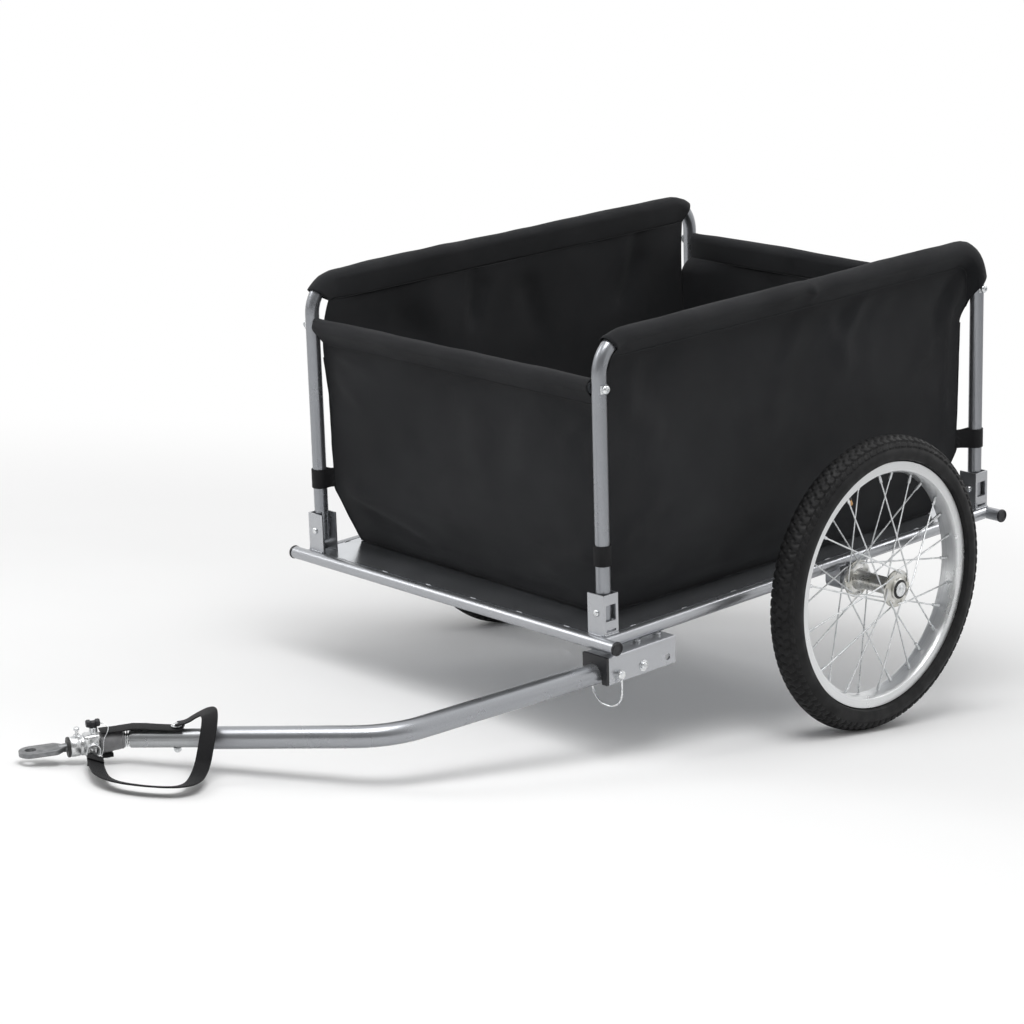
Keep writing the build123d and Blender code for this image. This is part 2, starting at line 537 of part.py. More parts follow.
def make_towbar_bracket():
    x = SIDE_TUBE_OFFSET
    top = FRAME_BOTTOM - CHANNEL_TOP
    front = -(CHANNEL_REAR + CHANNEL_LENGTH)
    middle = (front - CHANNEL_REAR) / 2
    inner = CHANNEL_WIDTH - 2 * CHANNEL_WALL
    outer = Pos(x, middle, top - CHANNEL_HEIGHT / 2) * Box(CHANNEL_WIDTH, CHANNEL_LENGTH, CHANNEL_HEIGHT)
    outer = fillet(outer.edges().filter_by(Axis.Y).group_by(Axis.Z)[-1], CHANNEL_WALL)
    channel = outer - Pos(x, middle, top - CHANNEL_WALL - CHANNEL_HEIGHT / 2) * Box(
        inner, CHANNEL_LENGTH, CHANNEL_HEIGHT)
    pin_at = PIVOT + along(TOWBAR_REAR_HEADING, PIN_SPACING)
    cross_holes = ((PIVOT.Y, TOWBAR_BOLT), (pin_at.Y, PULL_PIN), (2 * PIVOT.Y - pin_at.Y, PULL_PIN))
    for y, diameter in cross_holes:
        channel -= rod((x - CHANNEL_WIDTH, y, PIVOT.Z), (x + CHANNEL_WIDTH, y, PIVOT.Z),
                       diameter + 2 * HOLE_GAP)
    bolts = []
    for forward in CHANNEL_BOLTS_FORWARD:
        channel -= rod((x, -forward, top - 2 * CHANNEL_WALL), (x, -forward, top), CHANNEL_BOLT + 2 * HOLE_GAP)
        underside = top - CHANNEL_WALL
        bolt = rod((x, -forward, underside), (x, -forward, FRAME_RISE), CHANNEL_BOLT)
        bolt += hexagon((x, -forward, underside), (0, 0, -1), LARGE_NUT, CHANNEL_BOLT_HEAD)
        bolt += rod((x, -forward, top), (x, -forward, FRAME_BOTTOM), CHANNEL_SPACER)
        bolts.append(bolt)
    add("towbar_bracket", channel)
    add("towbar_bracket_bolts", *bolts)

    mouth = front + LINER_LENGTH
    liner_top = top - CHANNEL_WALL - SEAT_GAP / 2
    liner_bottom = top - CHANNEL_HEIGHT
    body = Pos(x, (front + mouth) / 2, (liner_top + liner_bottom) / 2) * Box(
        inner - SEAT_GAP, LINER_LENGTH, liner_top - liner_bottom)
    lip = Pos(x, front - LINER_LIP / 2, (top + liner_bottom) / 2) * Box(
        CHANNEL_WIDTH, LINER_LIP, top - liner_bottom)
    liner = body + lip
    reach = along(TOWBAR_REAR_HEADING, 3 * CHANNEL_LENGTH)
    liner -= rod(PIVOT - reach, PIVOT + reach, TOWBAR_TUBE + 2 * SEAT_GAP)
    liner -= Pos(x, middle, PIVOT.Z - TOWBAR_TUBE / 2) * Box(
        TOWBAR_TUBE - 2 * LINER_SLOT_INSET, 2 * CHANNEL_LENGTH, TOWBAR_TUBE)
    liner -= rod((x - CHANNEL_WIDTH, pin_at.Y, PIVOT.Z), (x + CHANNEL_WIDTH, pin_at.Y, PIVOT.Z),
                 PULL_PIN + 2 * HOLE_GAP)
    add("towbar_liner", *liner.solids())

    face = CHANNEL_WIDTH / 2
    bolt = rod((x - face - NUT_HEIGHT - THREAD_PAST_NUT, PIVOT.Y, PIVOT.Z), (x + face, PIVOT.Y, PIVOT.Z),
               TOWBAR_BOLT)
    for direction in (1, -1):
        bolt += hexagon((x + direction * face, PIVOT.Y, PIVOT.Z), (direction, 0, 0), LARGE_NUT, NUT_HEIGHT)
    add("towbar_pivot_bolt", bolt)
    tail = BAIL_WIDTH / 2 + BAIL_WIRE
    head_end = x + face + PULL_PIN_HEAD_LENGTH
    pin = rod((x - tail, pin_at.Y, PIVOT.Z), (x + face, pin_at.Y, PIVOT.Z), PULL_PIN)
    pin += rod((x + face, pin_at.Y, PIVOT.Z), (head_end, pin_at.Y, PIVOT.Z), PULL_PIN_HEAD)
    add("towbar_pull_pin", pin)
    head_side = x + BAIL_WIDTH / 2
    tail_side = x - BAIL_WIDTH / 2
    low = PIVOT.Z - BAIL_DROP
    bail = FilletPolyline(
        (head_side, pin_at.Y, PIVOT.Z - PULL_PIN_HEAD / 2 - SEAT_GAP), (head_side, pin_at.Y, low),
        (tail_side, pin_at.Y, low), (tail_side, pin_at.Y, PIVOT.Z - PULL_PIN / 2 - SEAT_GAP),
        radius=BAIL_RADIUS)
    add("pull_pin_bail", sweep(Plane(bail @ 0, z_dir=bail % 0) * Circle(BAIL_WIRE / 2), path=bail))
    return pin_at


def make_towbar(pin_at):
    tail = PIVOT - along(TOWBAR_REAR_HEADING, TOWBAR_TAIL)
    path = FilletPolyline(tail, BEND, TOWBAR_END, radius=TOWBAR_BEND_RADIUS)
    section = Circle(TOWBAR_TUBE / 2) - Circle(TOWBAR_TUBE / 2 - TOWBAR_WALL)
    bar = sweep(Plane(path @ 0, z_dir=path % 0) * section, path=path)
    for y, diameter in ((PIVOT.Y, TOWBAR_BOLT), (pin_at.Y, PULL_PIN)):
        bar -= rod((PIVOT.X - TOWBAR_TUBE, y, PIVOT.Z), (PIVOT.X + TOWBAR_TUBE, y, PIVOT.Z),
                   diameter + 2 * HOLE_GAP)
    add("towbar", bar)
    sleeve_start = TOWBAR_END - along(TOWBAR_FRONT_HEADING, SLEEVE_OVERLAP)
    sleeve = pipe(sleeve_start, COUPLING_START, SLEEVE_TUBE, SLEEVE_WALL)
    up = Vector(0, 0, SLEEVE_TUBE)
    sleeve -= rod(STRAP_BOLT_AT - up, STRAP_BOLT_AT + up, STRAP_BOLT + 2 * HOLE_GAP)
    add("coupling_sleeve", sleeve)


# ---- coupling -----------------------------------------------------------------

def on_coupling(distance, aside=0.0, up=0.0):
    """A point along the coupling's axis, aside to the trailer's outer side, and up."""
    step = along(COUPLING_HEADING, 1)
    outwards = Vector(-step.Y, step.X, 0)
    return COUPLING_START + step * distance + outwards * aside + Vector(0, 0, up)


def make_coupling():
    step = along(COUPLING_HEADING, 1)
    upright = Plane(on_coupling(0), x_dir=step, z_dir=Vector(step.Y, -step.X, 0))

    coils = []
    for turn in range(COIL_TURNS):
        share = (turn + 0.5) / COIL_TURNS
        heading = TOWBAR_FRONT_HEADING + share * (COUPLING_HEADING - TOWBAR_FRONT_HEADING)
        coil = Torus(COIL_DIAMETER / 2 - COIL_WIRE / 2, COIL_WIRE / 2)
        coils.append(Plane(on_coupling(share * BOOT_START), z_dir=along(heading, 1)) * coil)
    add("coupling_coil", *coils)

    core = rod(COUPLING_START, on_coupling(BOOT_START), BOOT_CORE)
    core += rod(COUPLING_START - along(TOWBAR_FRONT_HEADING, BOOT_CORE), COUPLING_START, BOOT_CORE)
    boot = loft([Plane(on_coupling(BOOT_START), z_dir=step) * Circle(BOOT_DIAMETERS[0] / 2),
                 Plane(on_coupling(BOOT_START + BOOT_LENGTH), z_dir=step) * Circle(BOOT_DIAMETERS[1] / 2)])
    add("coupling_boot", boot + core)

    knuckle_start = BOOT_START + BOOT_LENGTH
    barrel_start = knuckle_start + KNUCKLE_LENGTH
    barrel_end = barrel_start + BARREL_LENGTH
    knob_at = knuckle_start + KNOB_FROM_BOOT
    knuckle = Plane(on_coupling(knuckle_start), x_dir=(0, 0, 1), z_dir=step) * (
        Pos(0, 0, KNUCKLE_LENGTH / 2) * Box(KNUCKLE_HEIGHT, KNUCKLE_WIDTH, KNUCKLE_LENGTH))
    knuckle += rod(on_coupling(barrel_start), on_coupling(barrel_end), BARREL_DIAMETER)
    knuckle -= rod(on_coupling(barrel_start + BARREL_FLOOR), on_coupling(barrel_end),
                   SHANK_DIAMETER + 2 * HOLE_GAP)
    knuckle -= rod(on_coupling(knob_at, 0, -KNUCKLE_HEIGHT), on_coupling(knob_at, 0, KNUCKLE_HEIGHT),
                   KNOB_PIN + 2 * HOLE_GAP)
    retainer_at = barrel_start + RETAINER_FROM_BARREL
    retainer_tip = SHANK_DIAMETER / 2 + RETAINER_TIP
    knuckle -= rod(on_coupling(retainer_at, 0, retainer_tip), on_coupling(retainer_at, 0, BARREL_DIAMETER),
                   RETAINER_PIN + 2 * HOLE_GAP)
    add("coupling_body", knuckle)
    ring_end = barrel_end + BARREL_RING
    ring = rod(on_coupling(barrel_end), on_coupling(ring_end), BARREL_DIAMETER)
    ring -= rod(on_coupling(barrel_end), on_coupling(ring_end), SHANK_DIAMETER + 2 * HOLE_GAP)
    add("coupling_ring", ring)

    knob = rod(on_coupling(knob_at, 0, -KNUCKLE_HEIGHT / 2), on_coupling(knob_at, 0, KNOB_RISE), KNOB_PIN)
    grip = Plane(on_coupling(knob_at, 0, KNOB_RISE), x_dir=step, z_dir=(0, 0, 1)) * (
        Pos(0, 0, KNOB_HEIGHT / 2) * Box(KNOB_LENGTH, KNOB_WIDTH, KNOB_HEIGHT))
    collar = rod(on_coupling(knob_at, 0, KNUCKLE_HEIGHT / 2), on_coupling(knob_at, 0, KNOB_RISE), KNOB_COLLAR)
    add("coupling_knob_pin", knob + collar, grip)
    head_start = on_coupling(retainer_at, 0, RETAINER_RISE - RETAINER_HEAD_HEIGHT)
    retainer = rod(on_coupling(retainer_at, 0, retainer_tip), head_start, RETAINER_PIN)
    retainer += rod(head_start, on_coupling(retainer_at, 0, RETAINER_RISE), RETAINER_HEAD)
    add("coupling_retainer_pin", retainer)

    neck = ring_end + EYE_NECK
    shoulder = neck + EYE_SHOULDER
    shank = rod(on_coupling(neck - SHANK_LENGTH), on_coupling(shoulder), SHANK_DIAMETER)
    half = EYE_WIDTH / 2
    outline = make_face(Polyline(
        (neck, SHANK_DIAMETER / 2), (shoulder, half), (EYE_REACH, half),
        (EYE_REACH, -half), (shoulder, -half), (neck, -SHANK_DIAMETER / 2), close=True))
    outline += Pos(EYE_REACH, 0) * Circle(half)
    outline -= Pos(EYE_REACH, 0) * Circle(EYE_HOLE / 2)
    plate = upright * (Pos(0, 0, -EYE_THICKNESS / 2) * extrude(outline, amount=EYE_THICKNESS))
    add("hitch_eye", shank + plate)


def make_strap_fittings():
    rise = Vector(0, 0, BOOT_DIAMETERS[1] / 2 + SEAT_GAP)
    thickness = Vector(0, 0, TONGUE_THICKNESS)
    start = on_coupling(BOOT_START + BOOT_LENGTH - TONGUE_ON_BOOT) + rise
    run = STRAP_BOLT_AT + rise - start
    length = run.length + TONGUE_PAST_BOLT
    tongue = Plane(start, x_dir=run, z_dir=(0, 0, 1)) * (
        Pos(length / 2, 0, TONGUE_THICKNESS / 2) * Box(length, STRAP_WIDTH, TONGUE_THICKNESS))
    tongue -= rod(STRAP_BOLT_AT, STRAP_BOLT_AT + 2 * rise, STRAP_BOLT + 2 * HOLE_GAP)
    add("strap_tongue", tongue)
    head_seat = STRAP_BOLT_AT + rise + thickness
    nut_seat = STRAP_BOLT_AT - Vector(0, 0, SLEEVE_TUBE / 2 + HOLE_GAP)
    bolt = rod(nut_seat - Vector(0, 0, NUT_HEIGHT + THREAD_PAST_NUT), head_seat, STRAP_BOLT)
    bolt += hexagon(nut_seat, (0, 0, -1), SMALL_NUT, NUT_HEIGHT)
    bolt += rod(head_seat, head_seat + Vector(0, 0, BOLT_HEAD_HEIGHT), BOLT_HEAD_DIAMETER)
    add("strap_bolt", bolt)
    aside = KNUCKLE_WIDTH / 2 + RING_WIRE / 2 + SEAT_GAP
    centre = on_coupling(BOOT_START + BOOT_LENGTH + KNUCKLE_LENGTH / 2, aside, -RING_DROP)
    outwards = on_coupling(0, 1, 0) - on_coupling(0)
    add("strap_ring", Plane(centre, z_dir=outwards) * Torus(RING_RADIUS, RING_WIRE / 2))


# ---- fabric box ---------------------------------------------------------------

def box_corners(height, inset):
    """The eight corners of the box's outline at one of its levels."""
    half, front, rear, c = BOX_LEVELS[height]
    half, front, rear = half - inset, POST_FRONT_Y + front + inset, POST_REAR_Y - rear - inset
    return [Vector(x, y, height) for x, y in (
        (half, front + c), (half, rear - c), (half - c, rear), (c - half, rear),
        (-half, rear - c), (-half, front + c), (c - half, front), (half - c, front))]


def wall_outline(height, first):
    """One wall's outline at a height: outside along the wall, then back along the inside."""
    outline = []
    for inset in (0, FABRIC_THICKNESS):
        corners = box_corners(height, inset)
        before, start, end, after = (corners[(first + step) % len(corners)] for step in (-1, 0, 1, 2))
        seam_start = (before + start) / 2 + (start - before).normalized() * FABRIC_SEAM / 2
        seam_end = (end + after) / 2 + (end - after).normalized() * FABRIC_SEAM / 2
        run = [seam_start, start, end, seam_end]
        outline += run if inset == 0 else run[::-1]
    return outline


def fabric_wall(first):
    """A wall of the box as a flat-faced solid, from the seam before one of its corners to the next seam."""
    levels = [wall_outline(height, first) for height in BOX_LEVELS]
    faces = [Face(Wire.make_polygon(levels[0])), Face(Wire.make_polygon(levels[-1]))]
    for lower, upper in zip(levels, levels[1:]):
        for i in range(len(lower)):
            j = (i + 1) % len(lower)
            faces.append(Face(Wire.make_polygon([lower[i], lower[j], upper[j], upper[i]])))
    return Solid(Shell(faces))


def hem_on_rail(x, wraps, diameter):
    """A round bar along a rail, reaching down its two bends as far as the hem does."""
    legs = []
    for y, inwards, wrap in ((POST_FRONT_Y, 1, wraps[0]), (POST_REAR_Y, -1, wraps[1])):
        run = RAIL_BEND_RADIUS * tan(radians(wrap) / 2)
        corner = Vector(x, y + inwards * (RAIL_BEND_RADIUS - run), RAIL_HEIGHT)
        down = Vector(0, -inwards * cos(radians(wrap)), -sin(radians(wrap)))
        legs.append([corner + down * (run + SIDE_HEM_TAIL), corner])
    path = FilletPolyline(*legs[0], *reversed(legs[1]), radius=RAIL_BEND_RADIUS)
    return sweep(Plane(path @ 0, z_dir=path % 0) * Circle(diameter / 2), path=path)


def past_hem(x, post_y, inwards, wrap):
    """What a side wall lacks at one end: all beyond a line from its hem's end to its corner seam's top."""
    angle = radians(wrap)
    out_of_bend = Vector(0, -inwards * sin(angle), cos(angle))
    bend_centre = Vector(x, post_y + inwards * RAIL_BEND_RADIUS, RAIL_HEIGHT - RAIL_BEND_RADIUS)
    hem_end = bend_centre + out_of_bend * (RAIL_BEND_RADIUS - POST_TUBE / 2)
    above = hem_end + out_of_bend * 1.5 * RAIL_BEND_RADIUS
    inset = BOX_AT_SHOULDER[1] if inwards > 0 else BOX_AT_SHOULDER[2]
    seam_top = Vector(x, post_y + inwards * inset, SEAM_TOP)
    outside = post_y - inwards * 2 * RAIL_BEND_RADIUS
    outline = Face(Wire.make_polygon([
        hem_end, seam_top, Vector(x, outside, SEAM_TOP), Vector(x, outside, above.Z), above]))
    return extrude(outline, amount=2 * POST_TUBE, dir=(1, 0, 0), both=True)


def make_fabric():
    for side, wall in (("left", fabric_wall(0)), ("right", fabric_wall(4))):
        x = SIDES[side] * POST_OFFSET
        wraps = SIDE_HEM_WRAPS[side]
        wall = wall - past_hem(x, POST_FRONT_Y, 1, wraps[0]) - past_hem(x, POST_REAR_Y, -1, wraps[1])
        bore = POST_TUBE + 2 * SEAT_GAP
        wall = wall + hem_on_rail(x, wraps, bore + 2 * HEM_THICKNESS)
        wall = wall - along_side_frame(x, Circle(bore / 2))
        add(f"fabric_{side}_wall", max(wall.solids(), key=lambda s: s.volume))

    for end, wall in (("rear", fabric_wall(2)), ("front", fabric_wall(6))):
        y = ENDS[end]
        half = POST_OFFSET - CROSS_HEM_GAP
        bore = CROSSBAR_TUBE + 2 * SEAT_GAP
        low_half = Pos(0, 0, CROSSBAR_HEIGHT / 2) * Box(4 * POST_OFFSET, 4 * FRAME_FRONT, CROSSBAR_HEIGHT)
        hem = rod((-half, y, CROSSBAR_HEIGHT), (half, y, CROSSBAR_HEIGHT), bore + 2 * HEM_THICKNESS)
        wall = (wall & low_half) + hem
        wall = wall - rod((-POST_OFFSET, y, CROSSBAR_HEIGHT), (POST_OFFSET, y, CROSSBAR_HEIGHT), bore)
        add(f"fabric_{end}_wall", max(wall.solids(), key=lambda s: s.volume))

    base = Face(Wire.make_polygon(box_corners(FLOOR_TOP + SEAT_GAP, FABRIC_THICKNESS + SEAT_GAP)))
    add("fabric_bottom", extrude(base, amount=FABRIC_BOTTOM_THICKNESS, dir=(0, 0, 1)))


def make_corner_tabs():
    """Webbing sewn to the box's corners and passed round the posts."""
    share = (TAB_MIDDLE - FABRIC_FOLD_HEIGHT) / (SEAM_TOP - FABRIC_FOLD_HEIGHT)
    half, front, rear, chamfer = (
        low + share * (high - low) for low, high in zip(BOX_AT_FOLD, BOX_AT_SHOULDER))
    bore = POST_TUBE + 2 * SEAT_GAP
    low, high = TAB_MIDDLE - TAB_HEIGHT / 2, TAB_MIDDLE + TAB_HEIGHT / 2
    tabs = []
    for y, inset in ((POST_FRONT_Y, front + chamfer / 2), (POST_REAR_Y, -rear - chamfer / 2)):
        for sign in SIDES.values():
            post = Vector(sign * POST_OFFSET, y, low)
            corner = Vector(sign * (half - chamfer / 2), y + inset, low)
            reach = corner - post
            tongue = Plane(post, x_dir=reach, z_dir=(0, 0, 1)) * (
                Pos((reach.length - TAB_STOP) / 2, 0, TAB_HEIGHT / 2) * Box(
                    reach.length - TAB_STOP, 2 * TAB_THICKNESS, TAB_HEIGHT))
            height = Vector(0, 0, high - low)
            tab = rod(post, post + height, bore + 2 * TAB_THICKNESS) + tongue
            tabs.append(tab - rod(post - height, post + 2 * height, bore))
    add("corner_tabs", *tabs)


# ---- assembly -----------------------------------------------------------------

make_base_frame()
make_floor_sheet()
make_side_frames()
make_post_brackets()
make_crossbars()
make_axle_brackets()
make_wheels()
make_towbar(make_towbar_bracket())
make_coupling()
make_strap_fittings()
make_fabric()
make_corner_tabs()

pitched = {name: Rot(X=PARK_PITCH) * shape for name, shape in nodes.items()}
extents = [shape.bounding_box() for shape in pitched.values()]
lowest = min(box.min.Z for box in extents)
middle_y = (min(box.min.Y for box in extents) + max(box.max.Y for box in extents)) / 2
to_footprint = Pos(0, -middle_y, -lowest)
parked = {name: to_footprint * shape for name, shape in pitched.items()}


def parked_place(point):
    return (to_footprint * Rot(X=PARK_PITCH) * Pos(point)).position


def make_strap():
    """The webbing strap as a plain tube, from its bolt over the side, along the floor and up to its ring."""
    bolt = parked_place(STRAP_BOLT_AT)
    heading = radians(TOWBAR_FRONT_HEADING)
    back = Vector(sin(heading), cos(heading), 0)
    aside = Vector(cos(heading), -sin(heading), 0)
    corners = [Vector(bolt.X, bolt.Y, up) + back * behind + aside * out for behind, out, up in STRAP_CORNERS]
    radii = []
    for before, corner, after in zip(corners, corners[1:], corners[2:]):
        arriving, leaving = corner - before, after - corner
        half_turn = radians(arriving.get_angle(leaving)) / 2
        radii.append(0.45 * min(arriving.length, leaving.length) / tan(half_turn))
    path = FilletPolyline(*corners, radius=radii)
    print("strap corners", [tuple(round(v, 2) for v in corner) for corner in corners])
    print("strap radii", [round(radius, 2) for radius in radii], "length", round(path.length, 1))
    return sweep(Plane(path @ 0, z_dir=path % 0) * Circle(STRAP_WIDTH / 2), path=path)


parked["safety_strap"] = make_strap()

os.makedirs("parts", exist_ok=True)
for name, shape in parked.items():
    export_step(shape, f"parts/{name}.step")

print("nose-down pitch", round(PARK_PITCH, 4))
places = {"axle line": Vector(0, 0, 0), "eye": EYE_CENTRE, "strap bolt": STRAP_BOLT_AT, "bend": BEND,
          "coupling start": COUPLING_START, "tow bar pivot": PIVOT}
for label, point in places.items():
    print(label, tuple(round(v, 3) for v in parked_place(point)))
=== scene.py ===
import math

import bmesh
import bpy
from mathutils import Matrix, Vector, noise


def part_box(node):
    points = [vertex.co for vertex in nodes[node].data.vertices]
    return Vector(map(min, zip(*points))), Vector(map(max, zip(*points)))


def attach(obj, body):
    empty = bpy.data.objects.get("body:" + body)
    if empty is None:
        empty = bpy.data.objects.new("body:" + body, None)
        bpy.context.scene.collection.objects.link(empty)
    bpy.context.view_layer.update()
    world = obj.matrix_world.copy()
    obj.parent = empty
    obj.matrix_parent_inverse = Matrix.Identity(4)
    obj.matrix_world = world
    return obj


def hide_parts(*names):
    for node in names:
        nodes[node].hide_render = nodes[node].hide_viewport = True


# A two-wheeled bicycle trailer, put together in the order of the workshop: base
# frame, floor, side frames, fabric box, wheels, tow bar, coupling and strap.
# Lengths are metres.

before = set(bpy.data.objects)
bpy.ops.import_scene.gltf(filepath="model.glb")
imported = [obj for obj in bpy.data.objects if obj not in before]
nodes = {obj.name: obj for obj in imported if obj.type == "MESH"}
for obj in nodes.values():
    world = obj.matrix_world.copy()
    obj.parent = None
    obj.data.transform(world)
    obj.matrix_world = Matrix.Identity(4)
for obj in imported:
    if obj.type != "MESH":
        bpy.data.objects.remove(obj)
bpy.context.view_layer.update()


# ---- parked stance -------------------------------------------------------------
# The trailer parks nose-down with its hitch eye on the floor. Its pieces are drawn
# level, with the middle of the axle line at zero, +X to its left and -Y forwards,
# and then tipped as the two cross tubes of the base frame lie.

FRONT_TUBE_Y, REAR_TUBE_Y, TUBE_Z = -0.433, 0.295, 0.016


def middle(node):
    low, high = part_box(node)
    return (low + high) / 2


front_tube, rear_tube = middle("front_cross_tube"), middle("rear_cross_tube")
nose_down = math.atan2(rear_tube.z - front_tube.z, rear_tube.y - front_tube.y)
PARKED = (Matrix.Translation(front_tube) @ Matrix.Rotation(nose_down, 4, "X")
          @ Matrix.Translation((0, -FRONT_TUBE_Y, -TUBE_Z)))


# ---- base frame ----------------------------------------------------------------
# Steel tubes, 16 mm across, welded into a rectangle and sprayed with a silver-grey
# powder that bakes to a slightly pebbled, half-gloss coat with a fine metal flake.

def feed(owner, node, inputs):
    """Sets each of a node's inputs to a value, or joins it to another node's output."""
    for key, value in inputs.items():
        if isinstance(value, bpy.types.NodeSocket):
            owner.node_tree.links.new(value, node.inputs[key])
        else:
            node.inputs[key].default_value = value


def node_in(owner, kind, inputs, **settings):
    """A new node of a material or a world, with its inputs fed."""
    node = owner.node_tree.nodes.new(kind)
    for key, value in settings.items():
        setattr(node, key, value)
    feed(owner, node, inputs)
    return node


def shade(material, inputs):
    """Feeds the inputs of the finish itself."""
    feed(material, material.node_tree.nodes["Principled BSDF"], inputs)


def place_in(material, space):
    """Each point's place in the piece's own space or along its cloth, or its way in the room."""
    return node_in(material, "ShaderNodeTexCoord", {}).outputs[space]


def grain(material, scale, detail, stretch=(1, 1, 1)):
    """Cloudy variation whose spots are about one part in `scale` of a metre."""
    mapping = node_in(material, "ShaderNodeMapping",
                      {"Vector": place_in(material, "Object"), "Scale": stretch})
    cloud = node_in(material, "ShaderNodeTexNoise",
                    {"Vector": mapping.outputs["Vector"], "Scale": scale, "Detail": detail})
    return cloud.outputs["Fac"]


def new_finish(name, colour, roughness, metallic=0.0):
    material = bpy.data.materials.new(name)
    material.use_nodes = True
    shade(material, {"Base Color": (*colour, 1), "Roughness": roughness, "Metallic": metallic})
    return material


def tint(material, source, low, high, start=0.35, end=0.65):
    """Runs the colour from `low` to `high` as the source goes from `start` to `end`."""
    ramp = node_in(material, "ShaderNodeValToRGB", {"Fac": source})
    for stop, position, colour in zip(ramp.color_ramp.elements, (start, end), (low, high)):
        stop.position = position
        stop.color = (*colour, 1)
    shade(material, {"Base Color": ramp.outputs["Color"]})


def patchy_gloss(material, source, low, high):
    """Runs the roughness from `low` to `high` with the source."""
    spread = node_in(material, "ShaderNodeMapRange",
                     {"Value": source, "From Min": 0.3, "From Max": 0.7, "To Min": low, "To Max": high})
    shade(material, {"Roughness": spread.outputs["Result"]})


def emboss(material, source, height, over=None):
    """Raises the surface by `height` where the source is 1, over an earlier relief."""
    bump = node_in(material, "ShaderNodeBump", {"Height": source, "Distance": height})
    if over:
        feed(material, bump, {"Normal": over.outputs["Normal"]})
    shade(material, {"Normal": bump.outputs["Normal"]})
    return bump


def coated_steel(name, dark, light):
    """Steel under baked powder: a fine flake, a faint orange peel and a clear skin."""
    coat = new_finish(name, light, 0.27, 0.85)
    tint(coat, grain(coat, 1900, 2), dark, light, 0.4, 0.6)
    patchy_gloss(coat, grain(coat, 30, 3), 0.26, 0.33)
    emboss(coat, grain(coat, 420, 2), 0.000012)
    shade(coat, {"Coat Weight": 0.3, "Coat Roughness": 0.12})
    return coat


powder_coat = coated_steel("silver_powder_coat", (0.36, 0.37, 0.39), (0.43, 0.44, 0.46))


def dress(node, material, edge=0.0):
    """Gives a part of the frame file its finish, and breaks its sharp edges by `edge`."""
    part = nodes[node]
    for slot in part.material_slots:
        slot.material = material
    if edge:
        weld = part.modifiers.new("joined corners", "WELD")
        weld.merge_threshold = 0.00001
        bevel = part.modifiers.new("broken edges", "BEVEL")
        bevel.width = edge
        bevel.segments = 2
        bevel.limit_method = "ANGLE"
        bevel.angle_limit = math.radians(38)
        flats = part.modifiers.new("flat faces stay flat", "WEIGHTED_NORMAL")
        flats.keep_sharp = True
        flats.weight = 100


for tube in ("front_cross_tube", "rear_cross_tube", "left_side_tube", "right_side_tube",
             "floor_cross_member"):
    dress(tube, powder_coat)


# ---- weld beads ----------------------------------------------------------------
# Each joint of the base frame carries a rippled bead of weld metal, coated over with
# the rest. The floor sheet is tacked to all four tubes every 8 or 9 cm.

SIDE_TUBE_X = 0.268
TUBE_RADIUS = 0.008
WELD, TACK = 0.0015, 0.0009
TACK_LENGTH = 0.009
UP = Vector((0, 0, 1))


def ring_turns(steps):
    return [2 * math.pi * k / steps for k in range(steps)]


def swept(form, line, outline, up=UP, scales=None, closed=False):
    """Runs a closed outline of (across, up) points along a line, with lengths in its UVs.
    Tells the way across at the line's end, and the line's length."""
    uv_layer = form.loops.layers.uv.verify()
    side = None
    rings, run = [], [0.0]
    count = len(line)
    for i, point in enumerate(line):
        before = line[i - 1] if (closed or i) else line[0]
        after = line[(i + 1) % count] if (closed or i < count - 1) else line[-1]
        tangent = (after - before).normalized()
        if side is None:
            side = tangent.cross(up).normalized()
        side = (side - tangent * side.dot(tangent)).normalized()
        top = side.cross(tangent)
        scale = scales[i] if scales else 1.0
        rings.append([form.verts.new(point + side * a * scale + top * b * scale) for a, b in outline])
        if i:
            run.append(run[-1] + (point - line[i - 1]).length)
    if closed:
        run.append(run[-1] + (line[0] - line[-1]).length)
    around = [0.0]
    for i, here in enumerate(outline):
        there = outline[(i + 1) % len(outline)]
        around.append(around[-1] + math.dist(here, there))
    spans = count if closed else count - 1
    for i in range(spans):
        lower, upper = rings[i], rings[(i + 1) % count]
        for k in range(len(outline)):
            m = (k + 1) % len(outline)
            face = form.faces.new((lower[k], lower[m], upper[m], upper[k]))
            places = ((run[i], around[k]), (run[i], around[k + 1]),
                      (run[i + 1], around[k + 1]), (run[i + 1], around[k]))
            for corner, place in zip(face.loops, places):
                corner[uv_layer].uv = place
    if not closed:
        form.faces.new(rings[0][::-1])
        form.faces.new(rings[-1])
    return side, run[-1]


def circle(radius, steps):
    return [(radius * math.cos(turn), radius * math.sin(turn)) for turn in ring_turns(steps)]


def finished(name, form, material, body="trailer", stands_for=(), crease=40):
    """Turns a drawn form into a piece at its parked place, riding on its body."""
    bmesh.ops.recalc_face_normals(form, faces=form.faces)
    mesh = bpy.data.meshes.new(name)
    form.to_mesh(mesh)
    form.free()
    mesh.transform(PARKED)
    mesh.shade_smooth()
    if crease < 180:
        mesh.set_sharp_from_angle(angle=math.radians(crease))
    mesh.materials.append(material)
    piece = bpy.data.objects.new(name, mesh)
    bpy.context.scene.collection.objects.link(piece)
    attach(piece, body)
    if stands_for:
        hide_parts(*stands_for)
    return piece


def bead(form, line, size, closed=False):
    """A lumpy string of weld metal along a line."""
    lumps = [1 + 0.28 * math.sin(i * 1.9) + 0.15 * noise.noise(p * 700) for i, p in enumerate(line)]
    swept(form, line, circle(size, 8), scales=lumps, closed=closed)


def even_line(start, end, steps):
    return [start.lerp(end, i / steps) for i in range(steps + 1)]


